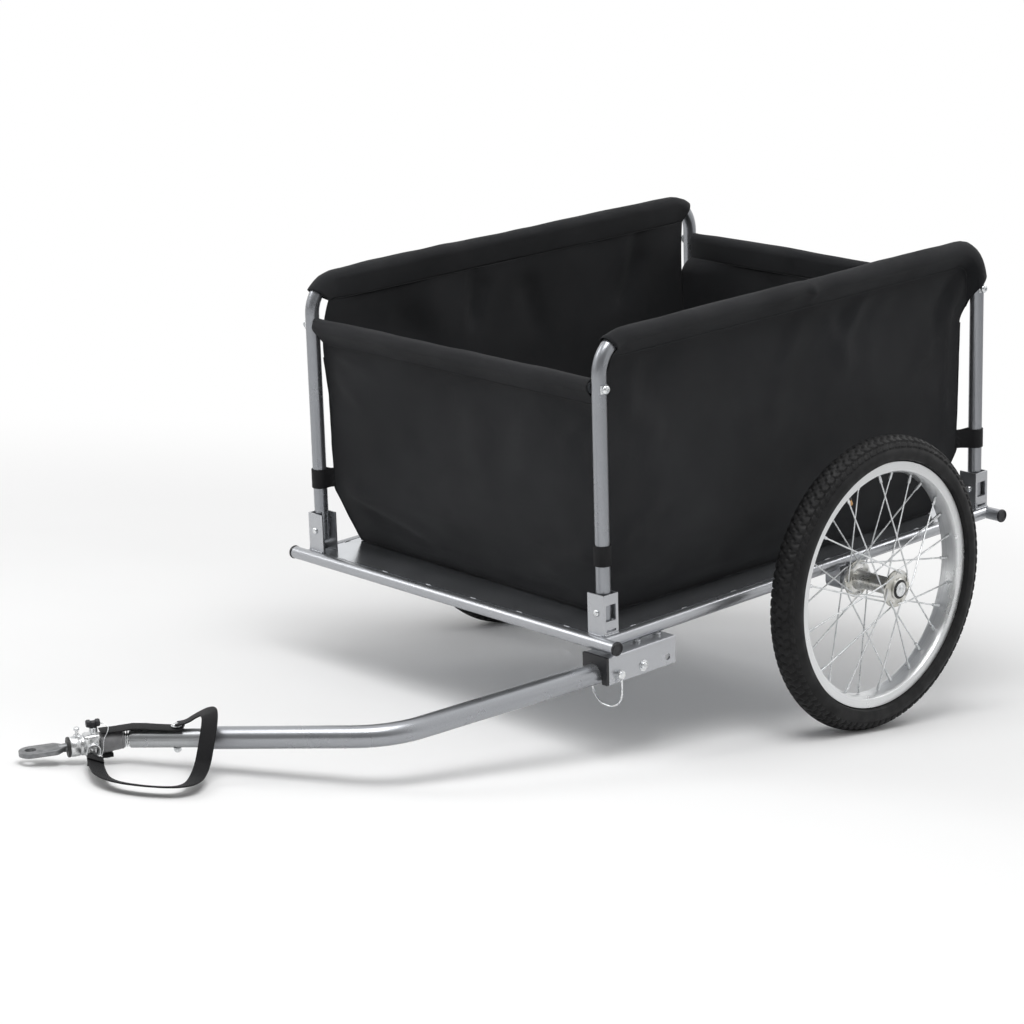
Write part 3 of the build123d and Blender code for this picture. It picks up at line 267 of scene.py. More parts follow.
beads = bmesh.new()
for side in (1, -1):
    for tube_y, inwards in ((FRONT_TUBE_Y, 1), (REAR_TUBE_Y, -1)):
        saddle = []
        for turn in ring_turns(44):
            reach = TUBE_RADIUS * abs(math.cos(turn)) + 0.4 * WELD
            saddle.append(Vector((side * SIDE_TUBE_X + 1.05 * TUBE_RADIUS * math.cos(turn),
                                  tube_y + inwards * reach, TUBE_Z + 1.05 * TUBE_RADIUS * math.sin(turn))))
        bead(beads, saddle, WELD, closed=True)
    for step in range(8):
        tack = Vector((side * (SIDE_TUBE_X - 0.0066), -0.375 + step * 0.088, 0.0226))
        bead(beads, even_line(tack, tack + Vector((0, TACK_LENGTH, 0)), 6), TACK)
for tube_y, inwards in ((FRONT_TUBE_Y, 1), (REAR_TUBE_Y, -1)):
    for step in range(6):
        tack = Vector((-0.21 + step * 0.082, tube_y + inwards * 0.0066, 0.0226))
        bead(beads, even_line(tack, tack + Vector((TACK_LENGTH, 0, 0)), 6), TACK)
finished("weld_beads", beads, powder_coat, crease=180)


# ---- tube end caps -------------------------------------------------------------
# Moulded black polythene plugs, pushed into the four open ends of the cross tubes.
# Each has a softly rounded rim round a shallow sunk face.

def turned(form, start, axis, profile, steps=40):
    """Turns a profile of (distance along the axis, radius) round the axis."""
    axis = Vector(axis).normalized()
    across = axis.orthogonal().normalized()
    beside = axis.cross(across)
    rings = []
    for along, radius in profile:
        centre = Vector(start) + axis * along
        if radius == 0:
            rings.append([form.verts.new(centre)])
            continue
        rings.append([form.verts.new(centre + across * radius * math.cos(turn)
                                     + beside * radius * math.sin(turn)) for turn in ring_turns(steps)])
    for lower, upper in zip(rings, rings[1:]):
        for k in range(steps):
            m = (k + 1) % steps
            if len(lower) == 1:
                form.faces.new((lower[0], upper[m], upper[k]))
            elif len(upper) == 1:
                form.faces.new((lower[k], lower[m], upper[0]))
            else:
                form.faces.new((lower[k], lower[m], upper[m], upper[k]))
    for ring in (rings[0], rings[-1]):
        if len(ring) > 1:
            form.faces.new(ring)


moulded_black = new_finish("moulded_black", (0.010, 0.010, 0.012), 0.45)
tint(moulded_black, grain(moulded_black, 60, 4), (0.007, 0.007, 0.009), (0.013, 0.013, 0.016))
patchy_gloss(moulded_black, grain(moulded_black, 30, 4), 0.36, 0.55)
emboss(moulded_black, grain(moulded_black, 1100, 2), 0.00003)

CAP_PROFILE = ((-0.010, 0.0062), (-0.0005, 0.0064), (0.0, 0.0064), (0.0001, 0.0083), (0.0007, 0.0087),
               (0.0026, 0.0087), (0.0036, 0.0082), (0.0040, 0.0074), (0.0038, 0.0066), (0.0027, 0.0061),
               (0.0024, 0.0054), (0.0026, 0.0030), (0.0027, 0.0))
CAP_FACE = 0.293
caps = bmesh.new()
for tube_y in (FRONT_TUBE_Y, REAR_TUBE_Y):
    for side in (1, -1):
        turned(caps, (side * CAP_FACE, tube_y, TUBE_Z), (side, 0, 0), CAP_PROFILE)
finished("tube_caps", caps, moulded_black, stands_for=["tube_end_caps"])


# ---- floor sheet ---------------------------------------------------------------
# Thin galvanised sheet laid between the tubes, smooth enough to mirror the box that
# stands on it. It carries the load, so it has fine scuffs.

def scuffs(material, scale, stretch, threshold):
    """Sparse thin marks: 1 on a mark, 0 elsewhere."""
    marks = node_in(material, "ShaderNodeMapRange",
                    {"Value": grain(material, scale, 6, stretch), "From Min": threshold,
                     "From Max": threshold + 0.05})
    return marks.outputs["Result"]


rolled_sheet = new_finish("galvanised_floor_sheet", (0.60, 0.62, 0.65), 0.24, 0.92)
tint(rolled_sheet, grain(rolled_sheet, 14, 8), (0.56, 0.58, 0.61), (0.68, 0.70, 0.73))
patchy_gloss(rolled_sheet, grain(rolled_sheet, 9, 8), 0.16, 0.26)
spangle = emboss(rolled_sheet, grain(rolled_sheet, 120, 2), 0.00003)
emboss(rolled_sheet, scuffs(rolled_sheet, 60, (8, 0.6, 1), 0.66), 0.00004, over=spangle)
dress("floor_sheet", rolled_sheet)


# ---- post brackets -------------------------------------------------------------
# Folded steel channels welded over the corners of the base frame. Each holds the
# foot of a side frame on one bolt, and has a window and a slot in its web.

# The brackets take a lighter copy of the frame's powder coat. This is painted light, standing for the
# brightness their flat faces catch.
lit_plate_coat = coated_steel("silver_coat_painted_light", (0.42, 0.43, 0.45), (0.49, 0.50, 0.52))
for bracket in ("front_left", "front_right", "rear_left", "rear_right"):
    dress(f"{bracket}_post_bracket", lit_plate_coat, edge=0.0005)

POST_X = 0.257
POST_YS = {"front": -0.416, "rear": 0.284}
WEB_WELD, FLANGE_WELD = 0.0013, 0.0011
bracket_beads = bmesh.new()
for post_y in POST_YS.values():
    for side in (1, -1):
        web_foot = Vector((side * 0.2697, post_y - 0.0115, 0.0245))
        bead(bracket_beads, even_line(web_foot, web_foot + Vector((0, 0.023, 0)), 14), WEB_WELD)
        for flange in (-0.0128, 0.0128):
            flange_foot = Vector((side * 0.244, post_y + flange, 0.0238))
            flange_line = even_line(flange_foot, flange_foot + Vector((side * 0.022, 0, 0)), 12)
            bead(bracket_beads, flange_line, FLANGE_WELD)
finished("bracket_welds", bracket_beads, powder_coat, crease=180)


# ---- post bolts ----------------------------------------------------------------
# Zinc-plated 5 mm machine screws with round heads and cross slots, each with a
# washer and a self-locking nut on the far side of its bracket.

zinc = new_finish("bright_zinc", (0.72, 0.73, 0.74), 0.26, 0.92)
tint(zinc, grain(zinc, 240, 4), (0.60, 0.62, 0.64), (0.82, 0.83, 0.83))
patchy_gloss(zinc, grain(zinc, 150, 4), 0.17, 0.36)
emboss(zinc, grain(zinc, 900, 3), 0.00004)


def hex_prism(form, start, axis, across_flats, height):
    """A nut or a hexagon head with its corners turned off at both ends."""
    tip = across_flats / math.sqrt(3)
    flat = across_flats / 2 * 0.97
    axis = Vector(axis).normalized()
    across = axis.orthogonal().normalized()
    beside = axis.cross(across)
    rings = []
    for along, limit in ((0, flat), (0.12 * height, tip), (0.88 * height, tip), (height, flat)):
        ring = []
        for turn in ring_turns(24):
            from_flat = (turn % (math.pi / 3)) - math.pi / 6
            reach = min(across_flats / 2 / math.cos(from_flat), limit)
            ring.append(form.verts.new(Vector(start) + axis * along + across * reach * math.cos(turn)
                                       + beside * reach * math.sin(turn)))
        rings.append(ring)
    for lower, upper in zip(rings, rings[1:]):
        for k in range(24):
            form.faces.new((lower[k], lower[(k + 1) % 24], upper[(k + 1) % 24], upper[k]))
    form.faces.new(rings[0])
    form.faces.new(rings[-1])


def threaded_end(form, start, axis, diameter, length, pitch=0.0008):
    """The end of a screw, with its thread as close ridges."""
    ridges = [(0, diameter / 2 - 0.0003)]
    for i in range(int(length / pitch)):
        ridges.append(((i + 0.5) * pitch, diameter / 2))
        ridges.append(((i + 1) * pitch, diameter / 2 - 0.0003))
    ridges.append((length, diameter / 2 - 0.0006))
    turned(form, start, axis, ridges, 20)


def round_head(form, start, axis, diameter, height, slot=True):
    """A domed screw head with a cross slot cut in its crown."""
    radius = diameter / 2
    dome = [(0, radius * 0.97), (0.10 * height, radius)]
    for k in range(1, 7):
        turn = math.pi / 2 * k / 7
        dome.append((height * (0.25 + 0.75 * math.sin(turn)), radius * math.cos(turn)))
    if slot:
        turned(form, start, axis, dome[:-2] + [(height * 0.96, radius * 0.42)], 28)
        axis = Vector(axis).normalized()
        across = axis.orthogonal().normalized()
        for turn in (0.6, 0.6 + math.pi / 2):
            bar = Matrix.Rotation(turn, 3, axis) @ across
            centre = Vector(start) + axis * height * 0.80
            half, rise = 0.0002 + 0.05 * radius, height * 0.21
            swept(form, [centre - bar * radius * 0.46, centre + bar * radius * 0.46],
                  [(-half, 0), (half, 0), (half, rise), (-half, rise)], up=axis)
    else:
        turned(form, start, axis, dome + [(height, 0)], 28)


def lock_nut(form, start, axis, across_flats, height):
    """A washer, a hexagon and the thin collar that holds the nut's locking ring."""
    axis = Vector(axis).normalized()
    washer, hexagon = 0.0009, height * 0.72
    collar = [(0, across_flats * 0.46), (height * 0.16, across_flats * 0.44),
              (height * 0.22, across_flats * 0.36)]
    turned(form, start, axis, ((0, across_flats * 0.60), (washer, across_flats * 0.60)), 28)
    hex_prism(form, Vector(start) + axis * washer, axis, across_flats, hexagon)
    turned(form, Vector(start) + axis * (washer + hexagon), axis, collar, 28)


PIVOT_Z = 0.051
BRACKET_PLATE = 0.0122
REARWARDS = Vector((0, 1, 0))
post_bolts = bmesh.new()
for post_y in POST_YS.values():
    for side in (1, -1):
        front_face = Vector((side * POST_X, post_y - BRACKET_PLATE, PIVOT_Z))
        rear_face = Vector((side * POST_X, post_y + BRACKET_PLATE, PIVOT_Z))
        round_head(post_bolts, front_face, -REARWARDS, 0.0088, 0.0031)
        lock_nut(post_bolts, rear_face, REARWARDS, 0.008, 0.0045)
        threaded_end(post_bolts, rear_face + REARWARDS * 0.003, REARWARDS, 0.005, 0.003)
        turned(post_bolts, front_face, REARWARDS, ((0, 0.0025), (2 * BRACKET_PLATE, 0.0025)), 20)
finished("post_bolts", post_bolts, zinc, stands_for=["post_pivot_bolts"], crease=30)


# ---- side frames and crossbars -------------------------------------------------
# Two bent hoops of 18 mm tube stand in the brackets. A straight tube joins them at
# each end, held by a bright button-headed screw and a cupped washer at each side.

# The side frames and crossbars take a darker copy of the frame's powder coat: painted shade on the upright
# tubes.
shaded_hoop_coat = coated_steel("side_frame_coat_painted_shade", (0.26, 0.27, 0.29), (0.31, 0.32, 0.34))
for tube in ("left_side_frame", "right_side_frame", "front_crossbar", "rear_crossbar"):
    dress(tube, shaded_hoop_coat)

CROSSBAR_Z = 0.322
POST_RADIUS = 0.009
CUP_WRAP = 0.62
for end, post_y in POST_YS.items():
    screws = bmesh.new()
    for side in (1, -1):
        face = side * (POST_X + POST_RADIUS)
        cup, cup_radius = [], POST_RADIUS + 0.0008
        for i in range(13):
            turn = CUP_WRAP * (2 * i / 12 - 1)
            cup.append(Vector((side * (POST_X + cup_radius * math.cos(turn)),
                               post_y + cup_radius * math.sin(turn), CROSSBAR_Z)))
        swept(screws, cup, [(-0.0006, -0.0050), (0.0006, -0.0050), (0.0006, 0.0050), (-0.0006, 0.0050)])
        turned(screws, (face, post_y, CROSSBAR_Z), (side, 0, 0), ((0, 0.0046), (0.0020, 0.0046)), 28)
        head = [(0.0020, 0.0053), (0.0026, 0.0055)]
        for k in range(1, 6):
            turn = math.pi / 2 * k / 6
            head.append((0.0026 + 0.0033 * math.sin(turn), 0.0055 * math.cos(turn) * 0.85 + 0.0008))
        head += [(0.0058, 0.0017), (0.0042, 0.0015), (0.0042, 0)]
        turned(screws, (face, post_y, CROSSBAR_Z), (side, 0, 0), head, 28)
    finished(f"{end}_screws", screws, zinc, stands_for=[f"{end}_crossbar_screws"],
             crease=32)


# ---- fabric box ----------------------------------------------------------------
# Four walls and a bottom of black coated polyester, sewn into a bag. The side walls
# hang from hems round the top rails, the end walls from hems round the crossbars,
# and the bag draws in towards the floor and lies on it.

# which way along X each side lies, and which way along Y is inwards at each end
SIDES = {"left": 1, "right": -1}
ENDS = {"front": 1, "rear": -1}

CLOTH = 0.0009
FLOOR_Z = 0.0232
FOLD_Z = 0.105
SEAM_TOP = 0.278
RAIL_Z, RAIL_BEND = 0.378, 0.042
RAIL_FRONT, RAIL_REAR = -0.374, 0.242
RAIL_HEM_RADIUS = 0.0106
BAR_HEM_RADIUS = 0.0096
BAR_HEM_HALF = 0.2465
STITCH_DROP, BAR_STITCH_DROP = 0.025, 0.023
STITCH_INSET = 0.0078

# where each corner seam runs, from the floor up: height, middle plane to seam, axle line to seam
CORNER_SEAMS = {
    ("left", "front"): ((FLOOR_Z, 0.2050, -0.3670), (0.105, 0.2435, -0.4015), (0.130, 0.2445, -0.4015),
                        (0.230, 0.2475, -0.4010), (SEAM_TOP, 0.2490, -0.4060)),
    ("right", "front"): ((FLOOR_Z, -0.2500, -0.3550), (0.105, -0.2440, -0.4010), (0.130, -0.2445, -0.4015),
                         (0.230, -0.2475, -0.4010), (SEAM_TOP, -0.2490, -0.4060)),
    ("left", "rear"): ((FLOOR_Z, 0.2290, 0.2250), (0.084, 0.2400, 0.2500), (0.105, 0.2435, 0.2610),
                       (0.130, 0.2445, 0.2590), (SEAM_TOP, 0.2490, 0.2580)),
    ("right", "rear"): ((FLOOR_Z, -0.2260, 0.2250), (0.084, -0.2400, 0.2500), (0.105, -0.2435, 0.2610),
                        (0.130, -0.2445, 0.2590), (SEAM_TOP, -0.2490, 0.2580)),
}

woven_black = new_finish("woven_black_polyester", (0.013, 0.0135, 0.015), 0.82)
shade(woven_black, {"Specular IOR Level": 0.24, "Sheen Weight": 0.05, "Sheen Roughness": 0.45})


def weave(material, pitch, height, over=None):
    """Plain weave: threads of two directions take turns on top, squares of one thread each."""
    place = place_in(material, "UV")
    warp, weft = [node_in(material, "ShaderNodeTexWave",
                          {"Vector": place, "Scale": math.pi / 10 / pitch, "Distortion": 0.4,
                           "Detail Scale": 40},
                          bands_direction=direction).outputs["Fac"] for direction in ("X", "Y")]
    squares = node_in(material, "ShaderNodeTexChecker", {"Vector": place, "Scale": 1 / pitch})
    on_top = node_in(material, "ShaderNodeMix", {"Factor": squares.outputs["Fac"], "A": warp, "B": weft})
    emboss(material, on_top.outputs["Result"], height, over)


tint(woven_black, grain(woven_black, 7, 7), (0.0085, 0.0090, 0.0108), (0.0145, 0.0152, 0.0175))
patchy_gloss(woven_black, grain(woven_black, 11, 5), 0.70, 0.88)
slub = emboss(woven_black, grain(woven_black, 90, 5), 0.0004)
weave(woven_black, 0.0008, 0.00022, over=slub)


def smooth(value):
    value = min(1.0, max(0.0, value))
    return value * value * (3 - 2 * value)


def seam_at(side_name, end, height):
    """Where a corner seam is at a height."""
    places = CORNER_SEAMS[side_name, end]
    for (low, x0, y0), (high, x1, y1) in zip(places, places[1:]):
        if height <= high:
            break
    share = min(1.0, max(0.0, (height - low) / (high - low)))
    return Vector((x0 + share * (x1 - x0), y0 + share * (y1 - y0), height))


def relief(along, height, creases, seed):
    """Height of the cloth's waves, puckers and creases. A crease runs from one point of
    the wall to another, as (along, height) pairs, and has a width and a height."""
    total = noise.noise(Vector((along * 5.0, height * 6.0, seed))) * 0.0030
    total += noise.noise(Vector((along * 17.0, height * 13.0, seed + 9))) * 0.0011
    for (along_0, height_0), (along_1, height_1), width, crest in creases:
        run_a, run_h = along_1 - along_0, height_1 - height_0
        length = math.hypot(run_a, run_h)
        share = ((along - along_0) * run_a + (height - height_0) * run_h) / length ** 2
        off = abs((along - along_0) * run_h - (height - height_0) * run_a) / length
        total += 1.35 * crest * smooth(share * 4) * smooth((1 - share) * 3) * math.exp(-(off / width) ** 2)
    return total


def across_wall(count):
    """Shares of a wall's width, closer together by its corners."""
    ends = [0.0, 0.005, 0.011, 0.018, 0.027]
    inner = [0.038 + (1 - 0.076) * i / count for i in range(count + 1)]
    return ends + inner + [1 - share for share in reversed(ends)]


def up_wall(top):
    """Heights of a wall's rows up to `top`, closer together where it folds on the floor."""
    foot = [FLOOR_Z + h for h in (0.0006, 0.0016, 0.0034, 0.0060, 0.0095)]
    return foot + [foot[-1] + (top - foot[-1]) * i / 30 for i in range(1, 31)]


def tucked(height):
    """The wall's foot tucks in under itself where it turns into the bottom."""
    below = max(0.0, 0.010 - (height - FLOOR_Z)) / 0.010
    return 0.0012 * below ** 2


def cloth_piece(name, grid, uvs, node):
    form = bmesh.new()
    uv_layer = form.loops.layers.uv.verify()
    rows = [[form.verts.new(point) for point in row] for row in grid]
    for i in range(len(rows) - 1):
        for k in range(len(rows[0]) - 1):
            face = form.faces.new((rows[i][k], rows[i][k + 1], rows[i + 1][k + 1], rows[i + 1][k]))
            places = ((i, k), (i, k + 1), (i + 1, k + 1), (i + 1, k))
            for corner, (a, b) in zip(face.loops, places):
                corner[uv_layer].uv = uvs[a][b]
    piece = finished(name, form, woven_black, stands_for=[node], crease=180)
    solid = piece.modifiers.new("cloth thickness", "SOLIDIFY")
    solid.thickness = CLOTH
    solid.offset = 0


def lengths_of_cloth(grid, along):
    """Places on the cloth in metres: along the wall on one axis, and up from its foot."""
    places, length = [], 0.0
    for i, row in enumerate(grid):
        if i:
            length += (row[len(row) // 2] - grid[i - 1][len(row) // 2]).length
        places.append([(point[along], length) for point in row])
    return places


def hem_section(radius, drop, lap=0.0010):
    """A hem in section, as (out, up) of the tube's middle: from the stitching over the tube
    to the raw edge inside. The stitching is under the inner side of the tube."""
    towards = math.atan2(-drop, -STITCH_INSET)
    clear = math.acos(radius / math.hypot(drop, STITCH_INSET))
    section = []
    for k in range(19):
        turn = towards + clear + 2 * (math.pi - clear) * k / 18
        section.append((radius * math.cos(turn), radius * math.sin(turn)))
    return section + [(-STITCH_INSET - lap, -drop + 0.001), (-STITCH_INSET - lap * 0.4, -drop - 0.002)]


def wall_below_hem(seams, stitch_row, shares, outwards, hang, creases, seed):
    """Rows of points from the floor to the stitching. `hang` moves the middle of the wall
    outwards of the line between its seams, by an amount for each height."""
    along_wall = Vector((abs(outwards.y), abs(outwards.x), 0))
    grid = []
    for height in up_wall(SEAM_TOP):
        first, last = seam_at(*seams[0], height), seam_at(*seams[1], height)
        row = []
        for share in shares:
            point = first.lerp(last, share)
            near_end = min(share, 1 - share) * (last - first).length
            along = point.dot(along_wall)
            free = smooth(near_end / 0.035) * smooth((height - FLOOR_Z) / 0.02)
            push = relief(along, height, creases, seed) * free + hang(height) * smooth(near_end / 0.09)
            row.append(point + outwards * (push - tucked(height)))
        grid.append(row)
    # above the corner seams the wall bends over to its stitching
    below, top = grid[-2], grid[-1]
    rise = SEAM_TOP - up_wall(SEAM_TOP)[-2]
    upper = []
    for step in range(1, 13):
        t = step / 12
        row = []
        for k, share in enumerate(shares):
            lean = (top[k] - below[k]) / rise
            knee = top[k] + lean * (stitch_row[k].z - SEAM_TOP) / 2
            point = top[k] * (1 - t) ** 2 + knee * 2 * t * (1 - t) + stitch_row[k] * t ** 2
            along = point.dot(along_wall)
            fade = (1 - t) * t * 4 * smooth(min(share, 1 - share) / 0.06)
            extra = relief(along, point.z, creases, seed) - relief(along, SEAM_TOP, creases, seed)
            row.append(point + outwards * extra * fade * 0.7)
        upper.append(row)
    return grid + upper


SIDE_CREASES = {
    "left": [
        ((-0.395, 0.100), (-0.255, 0.055), 0.010, 0.0035), ((-0.385, 0.120), (-0.295, 0.170), 0.012, 0.002),
        ((-0.058, 0.392), (-0.026, 0.340), 0.0034, 0.0044),
        ((-0.034, 0.380), (0.012, 0.338), 0.0075, -0.0056),
        ((-0.062, 0.380), (-0.074, 0.335), 0.007, -0.004), ((-0.020, 0.345), (0.045, 0.250), 0.014, 0.004),
        ((-0.070, 0.340), (-0.110, 0.190), 0.022, 0.0026), ((-0.310, 0.045), (-0.010, 0.040), 0.010, 0.004),
        ((0.255, 0.300), (0.150, 0.220), 0.014, 0.0024), ((0.240, 0.110), (0.130, 0.065), 0.012, 0.0035),
        ((0.233, 0.340), (0.236, 0.110), 0.0055, 0.0024), ((0.205, 0.350), (0.212, 0.230), 0.010, -0.0018),
        ((-0.165, 0.060), (0.180, 0.052), 0.016, -0.0025), ((-0.375, 0.300), (-0.295, 0.230), 0.018, 0.0024),
        ((0.060, 0.340), (0.085, 0.200), 0.020, 0.0018),
    ],
    "right": [
        ((-0.385, 0.110), (-0.245, 0.060), 0.012, 0.0034), ((-0.115, 0.345), (-0.155, 0.260), 0.010, 0.0035),
        ((-0.055, 0.340), (-0.015, 0.220), 0.020, 0.0028), ((0.240, 0.120), (0.105, 0.060), 0.012, 0.0034),
        ((-0.295, 0.320), (-0.175, 0.220), 0.022, 0.0026), ((0.185, 0.330), (0.125, 0.240), 0.014, 0.0028),
        ((-0.265, 0.050), (0.135, 0.045), 0.012, 0.0034),
    ],
}
# how far each hem reaches down the front and rear bends of its rail, round the outside
# of the tube, and how much further it reaches on the inside
SIDE_HEM_REACH = {"left": ((0.0262, 0.0), (0.0640, 0.034)), "right": ((0.0390, 0.0), (0.0310, 0.004))}
# where the left hem is pinched in from handling, and how deeply
PINCH_Y, PINCH_DEPTH = -0.054, 0.0016


def past_straight(run):
    """How far a run from the start of the rail's straight is past either of its ends."""
    return max(-run, run - (RAIL_REAR - RAIL_FRONT), 0.0)


def on_rail(run):
    """The rail's middle at a run, and the way out of its bends there."""
    over = past_straight(run)
    if not over:
        return Vector((0, RAIL_FRONT + run, RAIL_Z)), UP
    end, centre_y = (-1, RAIL_FRONT) if run < 0 else (1, RAIL_REAR)
    turn = min(over / RAIL_BEND, math.pi / 2)
    out = Vector((0, end * math.sin(turn), math.cos(turn)))
    centre = Vector((0, centre_y, RAIL_Z - RAIL_BEND))
    down = max(0.0, over - RAIL_BEND * math.pi / 2)
    return centre + out * RAIL_BEND - Vector((0, 0, down)), out


stitch_lines = {}
for side_name, side in SIDES.items():
    outwards = Vector((side, 0, 0))
    shares = across_wall(84)
    creases, seed = SIDE_CREASES[side_name], 3.0 * side
    (front_reach, front_slant), (rear_reach, rear_slant) = SIDE_HEM_REACH[side_name]
    hem_rows = []
    for n, (out, up) in enumerate(hem_section(RAIL_HEM_RADIUS, STITCH_DROP)):
        # 0 at the stitching on either side, 1 at the top of the tube
        over_top = smooth((up + STITCH_DROP) / (STITCH_DROP + RAIL_HEM_RADIUS))
        start = -front_reach - front_slant * (1 - over_top)
        stop = RAIL_REAR - RAIL_FRONT + rear_reach + rear_slant * (1 - over_top)
        row = []
        for share in shares:
            run = start + (stop - start) * share
            middle_at, away = on_rail(run)
            mouth = min(run - start, stop - run)
            shrink = 1 - 0.5 * smooth(past_straight(run) / 0.06) * (up < -RAIL_HEM_RADIUS)
            waver = noise.noise(Vector((run * 24, n * 0.35, side * 5.0)))
            flare = 1 + 0.16 * math.exp(-mouth / 0.010) + 0.06 * waver
            ruffle = relief(middle_at.y, RAIL_Z + up, creases, seed) * 0.8
            if side_name == "left":
                ruffle -= PINCH_DEPTH * math.exp(-((middle_at.y - PINCH_Y) / 0.0035) ** 2)
            if up < -RAIL_HEM_RADIUS or n == 0:
                flare, ruffle = 1.0, ruffle * 0.5
            point = middle_at + outwards * (POST_X + out * flare) + away * up * flare * shrink
            if past_straight(run) < 0.02:
                point += (outwards * out + away * up).normalized() * max(ruffle, -0.0008)
            row.append(point)
        hem_rows.append(row)
    start, stop = -front_reach - front_slant, RAIL_REAR - RAIL_FRONT + rear_reach + rear_slant
    stitch_row = []
    for share in shares:
        run = start + (stop - start) * share
        middle_at, away = on_rail(run)
        shrink = 1 - 0.5 * smooth(past_straight(run) / 0.06)
        stitch_row.append(middle_at + outwards * (POST_X - STITCH_INSET) - away * STITCH_DROP * shrink)
    grid = wall_below_hem(((side_name, "front"), (side_name, "rear")), stitch_row, shares, outwards,
                          lambda height: 0.0035 * math.sin(math.pi * min(1.0, height / 0.24)), creases, seed)
    grid += hem_rows
    cloth_piece(f"{side_name}_wall", grid, lengths_of_cloth(grid, 1), f"fabric_{side_name}_wall")
    stitch_lines[side_name] = stitch_row

END_CREASES = {
    "front": [
        ((-0.240, 0.118), (-0.050, 0.058), 0.012, 0.0044), ((-0.225, 0.088), (-0.060, 0.042), 0.011, -0.004),
        ((0.240, 0.118), (0.110, 0.062), 0.012, 0.0032), ((-0.236, 0.288), (-0.120, 0.262), 0.0055, 0.0016),
        ((-0.236, 0.272), (-0.165, 0.215), 0.009, 0.0022), ((0.020, 0.285), (0.055, 0.120), 0.030, 0.0026),
        ((0.130, 0.280), (0.095, 0.130), 0.025, 0.0022), ((-0.160, 0.042), (0.040, 0.038), 0.008, 0.003),
        ((0.030, 0.036), (0.190, 0.046), 0.009, -0.003), ((0.236, 0.285), (0.170, 0.230), 0.010, 0.0022),
        ((-0.110, 0.200), (0.060, 0.180), 0.024, -0.002),
    ],
    "rear": [
        ((-0.215, 0.100), (-0.095, 0.060), 0.012, 0.0034), ((0.200, 0.100), (0.085, 0.060), 0.012, 0.0032),
        ((-0.115, 0.290), (0.000, 0.200), 0.018, 0.0028), ((0.125, 0.280), (0.045, 0.180), 0.018, 0.0024),
        ((0.060, 0.315), (0.075, 0.270), 0.006, 0.002), ((0.085, 0.316), (0.120, 0.280), 0.007, 0.0022),
        ((-0.135, 0.045), (0.125, 0.040), 0.010, 0.0034),
    ],
}
# how far the middle of each end wall leans in from its stitching to the fold
HANG = {"front": 0.0067, "rear": 0.0140}

for end, inwards in ENDS.items():
    bar_y = POST_YS[end]
    outwards = Vector((0, -inwards, 0))
    shares = across_wall(60)
    creases, seed = END_CREASES[end], 20.0 * inwards
    hem_rows = []
    for n, (out, up) in enumerate(hem_section(BAR_HEM_RADIUS, BAR_STITCH_DROP)):
        row = []
        for share in shares:
            x = -BAR_HEM_HALF + 2 * BAR_HEM_HALF * share
            mouth = BAR_HEM_HALF - abs(x)
            waver = noise.noise(Vector((x * 20, n * 0.35, inwards * 7.0)))
            flare = 1 + 0.05 * math.exp(-mouth / 0.008) + 0.07 * waver
            ruffle = relief(x, CROSSBAR_Z + up, creases, seed) * 0.6
            if up < -BAR_HEM_RADIUS or n == 0:
                flare, ruffle = 1.0, ruffle * 0.5
            spread = Vector((0, -inwards * out, up))
            row.append(Vector((x, bar_y, CROSSBAR_Z)) + spread * flare
                       + spread.normalized() * max(ruffle, -0.0010))
        hem_rows.append(row)
    stitch_y, stitch_z = bar_y + inwards * STITCH_INSET, CROSSBAR_Z - BAR_STITCH_DROP
    stitch_row = [Vector((-BAR_HEM_HALF + 2 * BAR_HEM_HALF * share, stitch_y, stitch_z)) for share in shares]

    def hang(height):
        """How far the middle of an end wall stands out of the line between its seams."""
        hanging = STITCH_INSET + HANG[end] * (stitch_z - height) / (stitch_z - FOLD_Z)
        at_seams = abs(seam_at("left", end, height).y - bar_y)
        return max(0.0, at_seams - hanging) if height > FOLD_Z else 0.0

    grid = wall_below_hem((("right", end), ("left", end)), stitch_row, shares, outwards, hang, creases, seed)
    grid += hem_rows
    cloth_piece(f"{end}_wall", grid, lengths_of_cloth(grid, 0), f"fabric_{end}_wall")
    stitch_lines[end] = stitch_row

# the bottom stops just short of the seams that join it to the walls
BOTTOM_LENGTH, BOTTOM_WIDTH, BOTTOM_SHORT = 0.58, 0.45, 0.0014
foot_corners = [seam_at(*corner, FLOOR_Z) for corner in
                (("left", "front"), ("left", "rear"), ("right", "rear"), ("right", "front"))]
grid = []
for i in range(61):
    row = []
    short = BOTTOM_SHORT / BOTTOM_LENGTH
    along = short + (1 - 2 * short) * i / 60
    left_edge = foot_corners[0].lerp(foot_corners[1], along)
    right_edge = foot_corners[3].lerp(foot_corners[2], along)
    for k in range(49):
        short = BOTTOM_SHORT / BOTTOM_WIDTH
        over = short + (1 - 2 * short) * k / 48
        x, y, _ = left_edge.lerp(right_edge, over)
        free = smooth(10 * min(along, 1 - along, over, 1 - over))
        wave = max(0.0, noise.noise(Vector((x * 7, y * 6, 31.0)))) * 0.0045 * free
        wave += max(0.0, noise.noise(Vector((x * 19, y * 15, 33.0)))) * 0.0012 * free
        row.append(Vector((x, y, FLOOR_Z + 0.0008 + wave)))
    grid.append(row)
uvs = [[(point.x, point.y) for point in row] for row in grid]
cloth_piece("box_bottom", grid, uvs, "fabric_bottom")


# ---- seams and stitching of the box ---------------------------------------------
# The walls meet in turned seams at the corners and round the bottom, and the hems
# are closed with a row of lock stitches in thick bonded nylon thread.

